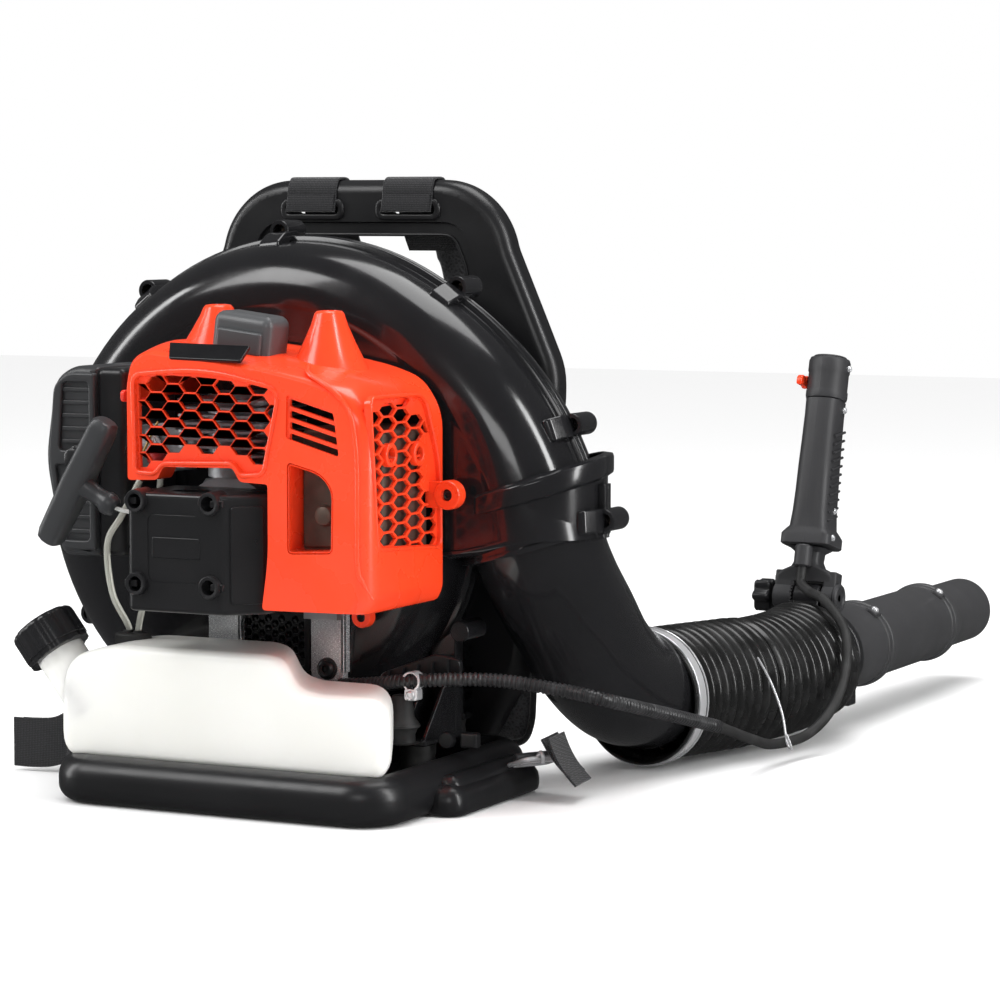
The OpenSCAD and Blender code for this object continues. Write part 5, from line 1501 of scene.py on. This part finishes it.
def front_grille():
    """Recessed honeycomb panel with a bevelled frame."""
    shape = Shape()
    grown = inset(FRONT_GRILLE, -0.6)
    holes = hex_holes(FRONT_GRILLE, FRONT_LIMIT, (16.2, 14.3), (9.9, 6.0), 1.2, (3, 8))
    shape.plate("xz", grown, COVER_Y0 + 4, COVER_Y0 + 7.5, holes=holes, edge=(0, 0), hole_edge=(0.9, 0),
                steps=2)
    frame_ring(shape, FRONT_GRILLE, COVER_Y0 - 1.4, COVER_Y0 + 5)
    shape.make("cover_front_grille", "orange_plastic", sharp=40)
    slots = Shape()
    bars = []
    for k in range(4):
        top = 344 - 9.2 * k
        bars.append(soften([(85, top - 6.2), (85, top - 0.6), (130, top - 13.0), (130, top - 18.6)], 1.6,
                           3))
    slots.plate("xz", inset(SLOT_PANEL, -0.6), COVER_Y0 + 2, COVER_Y0 + 5.5, holes=bars, hole_edge=(1.2, 0),
                steps=2)
    slots.make("cover_slots", "orange_plastic", sharp=40)
    well = Shape()
    well.loft([[(x, COVER_Y0 + depth, z) for x, z in inset(MUFFLER_WINDOW, 0.4)] for depth in (0.6, 12,
                                                                                               25)],
              caps=(False, False))
    well.make("cover_window_wall", "orange_plastic", sharp=40, wall=1.6)
    plate = Shape()
    plate.plate("xz", inset(MUFFLER_WINDOW, 1), COVER_Y0 + 24, COVER_Y0 + 27, edge=(0.5, 0))
    plate.plate("xz", inset(soften([(86, 222), (122, 224), (122, 268), (112, 280), (86, 286)], 4, 3), 0),
                COVER_Y0 + 21, COVER_Y0 + 24.4, edge=(1.4, 0))
    plate.make("muffler_guard", "heat_steel", sharp=40)
    bolt = Shape()
    bolt.lathe([(0.001, -8), (5, -8), (7.4, -6.5), (8.6, -3), (8.6, 0), (11, 0.2), (11.4, 2), (0.001, 2)],
               (108, COVER_Y0 + 20.5, 249), (0, 1, 0), closed=False, steps=40)
    bolt.make("muffler_bolt", "heat_steel", sharp=35)


def frame_ring(shape, outline, y0, y1):
    """A low rounded frame round an opening."""
    shape.plate("xz", inset(outline, -3.4), y0, y1, holes=[inset(outline, 0.6)], edge=(1.6, 0),
                hole_edge=(1.6, 0), steps=3)


def side_grille():
    shape = Shape()
    holes = hex_holes(SIDE_GRILLE, SIDE_LIMIT, (23.5, 11.7), (13.6, 4.8), 1.4, (10, 6))
    shape.plate("yz", inset(SIDE_GRILLE, -0.6), COVER_X1 - 7, COVER_X1 - 3.6, holes=holes,
                hole_edge=(0, 0.9), steps=2)
    shape.plate("yz", inset(SIDE_GRILLE, -2.4), COVER_X1 - 5, COVER_X1 + 0.9,
                holes=[inset(SIDE_GRILLE, 0.6)], edge=(0, 1.4), hole_edge=(0, 1.4), steps=3)
    # rings round two of the openings, half way up
    for y, z in ((-156, 298), (-108, 296)):
        ring = circle(y, z, 9.8, 32)
        shape.plate("yz", ring, COVER_X1 - 6.5, COVER_X1 - 0.5, holes=[circle(y, z, 6, 32)], edge=(0, 1.2),
                    hole_edge=(0, 1), steps=3)
    shape.make("cover_side_grille", "orange_plastic", sharp=40)


def cover_top_parts():
    bumps = Shape()
    for x, y, rise in ((-22, -128, 31), (84, -128, 40)):
        low, top = cover_top(x), cover_top(x) + rise
        # a ramped mound with a hooded, hollow boss
        rings = []
        for grow, z in ((26, low - 14), (20, low - 4), (11, low + rise * 0.35), (4.5, low + rise * 0.72),
                        (1.5, top - 2), (-0.5, top)):
            rings.append([(x + (10 + grow) * math.cos(2 * math.pi * k / 40),
                           y + (13 + grow) * math.sin(2 * math.pi * k / 40), z) for k in range(40)])
        for wide, deep, z in ((6.5, 9, top + 0.4), (5.6, 8, top - 1.5), (5.2, 7.6, top - 22)):
            rings.append([(x + wide * math.cos(2 * math.pi * k / 40),
                           y + deep * math.sin(2 * math.pi * k / 40), z)
                          for k in range(40)])
        bumps.loft(rings, caps=(False, True))
    bumps.make("cover_bosses", "orange_plastic", sharp=50)
    trim = Shape()
    # raised strip that starts on the top, bends over the corner and runs down the front corner
    line = [(92, -176, cover_top(92) - 2), (100, -190, 364), (126, -196.6, 351), (141, -197, 334),
            (146, -196.6, 310), (147.5, -196.4, 280), (147.5, -196.4, 214), (151, -194, 198),
            (156, -187, 184)]
    trim.tube(smooth_line(line, 6), 2.0, steps=10)
    trim.make("cover_trim", "orange_plastic", sharp=60)
    lugs, screws = Shape(), Shape()
    x, y, z = COVER_X1 + 13, -88, 261
    lugs.lathe([(5, 0), (11.4, 0), (12.2, 1), (12.2, 11), (11.4, 12), (5, 12)], (x, y, z), (0, 1, 0),
               steps=40)
    lugs.pillow((COVER_X1 - 8, y + 1, z - 11), (x - 4, y + 11, z + 11), 2, 1)
    screws.join(pan_screw(5.5), shifted(x, y + 5, z) @ turned(90, "X"))
    lugs.lathe([(4, 0), (8.5, 0), (9, 1), (9, 9), (4, 9)], (88, -84, 155), (0, 1, 0), steps=40)
    lugs.pillow((80, -82, 156), (96, -76, 172), 1, 1)
    screws.join(pan_screw(5), shifted(88, -81, 155) @ turned(90, "X"))
    lugs.make("cover_lugs", "orange_plastic", sharp=40)
    screws.make("cover_screws", "black_plastic")
    latch = Shape()
    x = 21
    latch.pillow((x - 28, -168, cover_top(x) - 4), (x + 28, -132, cover_top(x) + 31), 9, (1, 9))
    latch.pillow((x - 21, -171, cover_top(x) - 2), (x + 21, -160, cover_top(x) + 17), 3, 2)
    latch.moved(turned(7, "Y", (x, 0, cover_top(x)))).make("cover_latch", "latch_plastic", sharp=40,
                                                           replaces=["engine_cover_cap"])
    badge = Shape()
    badge.plate("xz", soften([(-27, 0), (41, -1.5), (44, 15), (-33, 17)], 1.6, 3), -2, 1, edge=(1, 0))
    badge = badge.moved(shifted(0, -197, 373) @ turned(-42, "X"))
    badge.make("cover_badge", "badge", sharp=40)


# ---------------------------------------------------------------- starter, air cleaner and muffler

BOX_X0, BOX_X1, BOX_Y0, BOX_Y1, BOX_Z0, BOX_Z1 = -59, 62, -215, -138, 167, 265
SLEEVES = [(x, z) for x in (-48, 22) for z in (190, 258)]
ROPE_Z = 246


def recoil_housing():
    shape = Shape()
    outline = [(BOX_X0, BOX_Y1), (BOX_X0, BOX_Y0 + 4), (BOX_X0 + 4, BOX_Y0), (BOX_X1 - 28, BOX_Y0),
               (BOX_X1, BOX_Y0 + 28), (BOX_X1, BOX_Y1)]
    shape.plate("xy", soften(outline, [2, 5, 5, 7, 7, 2], 4), BOX_Z0, BOX_Z1, edge=(4, 4))
    piece = shape.make("recoil_housing_looks", "starter_plastic", sharp=50, replaces=["recoil_housing"])
    recess = Shape().plate("xz", soften([(-38, 192), (12, 192), (12, 248), (-38, 248)], 7, 4), BOX_Y0 - 4,
                           BOX_Y0 + 2.2)
    slot = Shape().pillow((-30, -196, 256), (12, -176, 290), 4, 1)
    bores = [Shape().rod((x, BOX_Y0 - 12, z), (x, BOX_Y0 + 16, z), 6.4, 0.3) for x, z in SLEEVES]
    cut(piece, recess, slot, *bores)
    sleeves = Shape()
    for x, z in SLEEVES:
        sleeves.lathe([(6.2, -4.5), (8.4, -5), (9.4, -4), (10, 3), (10.4, 14), (6.2, 14)], (x, BOX_Y0, z),
                      (0, 1, 0), steps=40)
        # ribs that tie each sleeve to the box
        way = -1 if x < 0 else 1
        sleeves.pillow((min(x, x + way * 12), BOX_Y0 - 1.5, z - 3),
                       (max(x, x + way * 12), BOX_Y0 + 6, z + 3), 1, 1)
    sleeves.plate("xz", soften([(-40, 190), (16, 190), (16, 248), (-40, 248)], 5, 4), BOX_Y0 + 0.4,
                  BOX_Y0 + 3, edge=(1.2, 0))
    sleeves.plate("xz", soften([(-34, 212), (12, 212), (12, 229), (-34, 229)], 2, 3), BOX_Y0 - 0.5,
                  BOX_Y0 + 3, edge=(0.8, 0))
    sleeves.make("recoil_sleeves", "starter_plastic", sharp=40)
    screws = Shape()
    for x, z in SLEEVES:
        screws.join(pan_screw(4.6), shifted(x, BOX_Y0 + 12, z) @ turned(90, "X"))
    screws.make("recoil_screws", "steel")
    panel = Shape()
    side = Matrix.Translation(Vector((48, -201, 216))) @ Matrix.Rotation(math.radians(45), 4, "Z")
    panel.join(Shape().pillow((-14, -1.6, -40), (14, 2, 40), 4, 1.2, plane="xz"), side)
    panel.make("recoil_side_panel", "starter_plastic", sharp=40)
    dress("recoil_pulley", "pulley_plastic", 0.3)
    dress("recoil_spring", "steel")


def pull_handle():
    shape = Shape()
    tilt = Matrix.Translation(Vector((-80, -196, ROPE_Z + 2))) @ Matrix.Rotation(math.radians(-60.3), 4,
                                                                                 "Y")
    rings = []
    for x, w, d in ((-59, 15, 16), (-57, 19, 20), (-50, 21, 23), (-20, 22, 24), (0, 23, 25), (20, 22, 24),
                    (50, 21, 23), (57, 19, 20), (59, 15, 16)):
        rings.append([(x, y, z + 44) for y, z in box_outline(-d / 2, d / 2, -w / 2, w / 2, 7, 4)])
    shape.loft(rings)
    shape.lathe([(0.001, 1), (5.5, 1), (8, 3), (9.5, 7), (9.8, 11), (8, 15), (7.4, 22), (9, 32), (12, 38),
                 (0.001, 38)],
                closed=False, steps=32)
    shape.moved(tilt).make("pull_handle_looks", "grey_plastic", body="pull", sharp=40,
                           replaces=["pull_handle"])
    rope = Shape()
    line = [Vector((BOX_X0 + 2, -196, ROPE_Z)), Vector((-72, -196, ROPE_Z + 1)),
            Vector((-81, -196, ROPE_Z + 3))]
    rope.tube(smooth_line(line, 12), 1.8, steps=12)
    piece = rope.make("starter_rope_looks", "rope", body=None, sharp=60, replaces=["starter_rope"])
    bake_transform(piece)


FILTER_Y0, FILTER_Y1 = -152, -68


def air_cleaner():
    body = Shape()
    body.plate("xz", soften([(-128, 204), (-101, 204), (-101, 362), (-128, 362)], 6, 4), FILTER_Y0 + 0.5,
               FILTER_Y1, edge=(5, 4))
    body.make("air_filter_body_looks", "black_plastic", sharp=45, replaces=["air_filter_body"])
    cover = Shape()
    left = soften([(-166, 202), (-128, 202.6), (-127, 363), (-152, 364), (-172, 352), (-182, 284)],
                  [9, 3, 3, 9, 12, 16], 5)
    cover.plate("xz", left, FILTER_Y0, FILTER_Y1, edge=(7, 6), steps=5)
    # raised E-shaped frame with two recessed fields
    upper = soften([(-164, 292), (-134, 292), (-134, 350), (-160, 350)], 4, 3)
    lower = soften([(-160, 216), (-134, 216), (-134, 280), (-168, 280)], 4, 3)
    cover.plate("xz", soften([(-162, 208), (-128, 208), (-128, 358), (-154, 358), (-169, 348), (-175, 284)],
                             [6, 3, 3, 6, 8, 10], 4), FILTER_Y0 - 4, FILTER_Y0 + 2, holes=[upper, lower],
                edge=(2.2, 0), hole_edge=(1.8, 0))
    for k in range(5):
        cover.pillow((-160, FILTER_Y0 - 1.6, 222 + 12 * k), (-134, FILTER_Y0 + 2, 225.4 + 12 * k), 1, 0.8)
        cover.pillow((-162, FILTER_Y0 - 1.6, 298 + 11 * k), (-134, FILTER_Y0 + 2, 301.4 + 11 * k), 1, 0.8)
    cover.make("air_filter_cover_looks", "grey_plastic", sharp=42, replaces=["air_filter_cover"])
    knob = Shape()
    knob.lathe([(0.001, -9), (6, -9), (8, -8), (8.6, -2), (10, -1), (10, 1), (0.001, 1)],
               (-148, FILTER_Y0, 286), (0, 1, 0), closed=False, steps=32)
    knob.make("air_filter_knob", "black_plastic", sharp=40)
    dress("air_filter_element", "filter_foam", 2.0)
    dress("carburettor", "cast_alloy", 0.8)
    lever = Shape()
    x, y, z = -94.2, -138, 340
    lever.rod((x - 11, y, z), (x, y, z), 2.9, 0.4)
    lever.rod((x, y, z), (x + 4, y, z), 7.2, 0.8)
    lever.pillow((x, y - 30, z - 5), (x + 4, y - 2, z + 5), 4, 1.2, plane="yz")
    lever.make("choke_lever_looks", "red_plastic", body="choke", sharp=40, replaces=["choke_lever"])
    bulb = Shape()
    bulb.lathe([(0.001, 0), (8.4, 0), (8.5, 3.6), (7.6, 4.2), (7.2, 6), (5.8, 8.6), (3.2, 10.4),
                (0.001, 11)],
               (-83, -127, 286.4), (0, -1, 0), closed=False, steps=40)
    bulb.make("primer_bulb_looks", "red_rubber", body="primer", sharp=50, replaces=["primer_bulb"])


def engine_inside():
    for node, material, bevel in (("crankcase", "cast_alloy", 1.2), ("cylinder", "cast_alloy", 0.5),
                                  ("crank_bearings", "steel", 0.2), ("crankshaft", "steel", 0.3),
                                  ("flywheel", "cast_alloy", 0.5), ("piston", "cast_alloy", 0.2),
                                  ("wrist_pin", "steel", 0.2), ("connecting_rod", "steel", 0.4),
                                  ("ignition_coil", "black_plastic", 0.6)):
        dress(node, material, bevel)
    plug = Shape()
    x, y, z = CRANK_X, -110, 321
    plug.lathe([(0.001, 0), (4.9, 0), (4.9, 26), (8.6, 28.2), (9.9, 28.6), (9.9, 34.6), (8.6, 35.2),
                (5.2, 35.4)],
               (x, y, z), closed=False, steps=36)
    plug.make("spark_plug_metal", "steel", sharp=35, replaces=["spark_plug"])
    boot = Shape()
    boot.lathe([(0.001, 35.3), (9, 35.3), (9.2, 38), (8, 42), (8.4, 46), (6, 47.2), (0.001, 47.2)],
               (x, y, z), closed=False, steps=36)
    boot.make("spark_plug_boot", "rubber", sharp=50)
    can = Shape()
    can.pillow((72, -156, 210.4), (148, -74, 318.4), 9, 5)
    for z in (236, 264, 292):
        can.pillow((72.6, -157.4, z), (147.4, -72.6, z + 6), 9, 2.4)
    can.pillow((36, -127, 282.4), (74, -93, 308.4), 3, 1.5)
    can.lathe([(6, -6), (8.4, -6), (9, -5), (9, 4), (6, 4)], (108, -156, 242.4), (0, 1, 0), steps=36)
    can.make("muffler_looks", "heat_steel", sharp=40, replaces=["muffler"])


def controls():
    line = smooth_line([(72, -92, 98), (104, -90, 101), (142, -92, 106), (205, -72, 108), (262, -61, 102),
                        (302, -50, 94), (320, 31, 73), (330, 110, 53)], 90)
    shape = Shape()
    travelled, radii = 0.0, []
    for i, point in enumerate(line):
        if i:
            travelled += (point - line[i - 1]).length
        radii.append(5.1 + 0.75 * (1 if math.sin(travelled * 2 * math.pi / 4.2) > 0 else -0.2))
    shape.tube(line, lambda t: radii[round(t * (len(line) - 1))], steps=16)
    shape.make("throttle_conduit_looks", "conduit", sharp=50, replaces=["throttle_conduit"])
    wires = Shape()
    wires.tube(smooth_line([(56, -90, 99), (64, -92, 96), (74, -92, 98)], 6), 1.6, steps=10)
    wires.make("stop_wire_end", "red_wire")
    route = smooth_line([(330.2, 111.5, 52.7), (334, 180, 32), (331, 236, 20), (338, 296, 20),
                         (347, 334, 38), (350, 362, 68), (341, 386, 104), (316, 400, 130), (292, 420, 136),
                         (279.5, 431, 142), (278, 434.3, 150), (278, 437, 160)], 12)
    middle = next(i for i, p in enumerate(route) if p.y > 258)
    last = next(i for i, p in enumerate(route) if p.y > 404)
    parts = (("throttle_cable_rear", route[:middle + 1], "frame", "hose_ring"),
             ("throttle_cable_middle", route[middle:last + 1], "hose_ring", "tube"),
             ("throttle_cable_front", route[last:], "tube", "handle"))
    for name, line, first, second in parts:
        piece = Shape().tube(line, 4.6, steps=16).make(
            name, "rubber", body=None, sharp=60, replaces=["throttle_cable"] if first == "frame" else ())
        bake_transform(piece)


def small_fittings():
    """Pieces low on the right side, between the cover and the base."""
    bracket = Shape()
    bracket.pillow((112, -66, 8), (142, -58, 12), 2, 1)
    # dark cone over a flanged cup
    bracket.lathe([(0.001, 26), (15, 26), (15.4, 24), (13, 22), (11, 17), (11.4, 11), (15, 10),
                   (0.001, 10)],
                  (127, -84, 42), closed=False, steps=40)
    bracket.lathe([(0.001, 92), (8, 92), (9, 88), (10.5, 74), (14, 69), (14.6, 66), (0.001, 66)],
                  (127, -84, 0), closed=False, steps=40)
    bracket.make("right_mount_cup", "rubber", sharp=45)
    arm = Shape()
    arm.plate("xz", soften([(96, 106), (150, 126), (172, 122), (172, 110), (150, 104), (110, 92), (96, 92)],
                           5, 4), -66, -60,
              edge=(1.2, 1.2))
    for k in range(5):
        arm.plate("xz", [(104 + 14 * k, 96 + 2 * k), (106 + 14 * k, 96 + 2 * k), (106 + 14 * k,
                                                                                  110 + 3 * k),
                         (104 + 14 * k, 108 + 3 * k)], -70, -64)
    arm.pillow((168, -60, 47), (184, -50, 60), 3, 2)
    arm.rod((157, -64, 53), (157, -56, 53), 7, 1)
    arm.make("right_bracket", "black_plastic", sharp=40)
    clip = Shape()
    ring = [(142 + 7.4 * math.cos(math.radians(t)), -92, 106 + 7.4 * math.sin(math.radians(t)))
            for t in range(-60, 241, 12)]
    clip.ribbon(ring, (0, 1, 0), 10, 1.6)
    clip.pillow((136, -97, 90), (148, -87, 99.5), 2, 0.6, plane="xz")
    clip.join(pan_screw(4.4), shifted(142, -97, 94) @ turned(90, "X"))
    clip.make("conduit_clip", "bright_wire", sharp=40)
    bolt = Shape()
    bolt.lathe([(0.001, -5), (5, -5), (6.4, -4.4), (6.4, 0), (9.6, 0), (10, 1.2), (0.001, 1.2)],
               (-84, -137, 300), (0, 1, 0), closed=False, steps=6)
    bolt.make("carburettor_bolt", "bright_wire", sharp=30)
    rod = Shape()
    rod.tube(smooth_line([(-94, -140, 262), (-90, -146, 282), (-80, -148, 300), (-72, -144, 318)], 6), 1.1,
             steps=8)
    rod.make("carburettor_rod", "brass", sharp=50)
    wire = Shape()
    across = [(302, 268, 92), (318, 262, 70), (331, 256, 44), (338, 250, 20), (344, 246, 16),
              (340, 244, 28)]
    wire.tube(smooth_line(across, 8), 1.2, steps=8)
    wire.make("cable_hook", "bright_wire", body="hose_ring", sharp=50)


base_frame()
fuel_tank()
tank_cap()
fuel_lines()
mount_legs()
vibration_mounts()
backrest_frame()
back_pad()
shoulder_straps()
strap_webbing()
strap_buckles()
volute_halves()
screens()
elbow()
hose()
pipes()
handle_bracket()
bracket_knob()
handle()
engine_cover()
recoil_housing()
pull_handle()
air_cleaner()
engine_inside()
controls()
small_fittings()
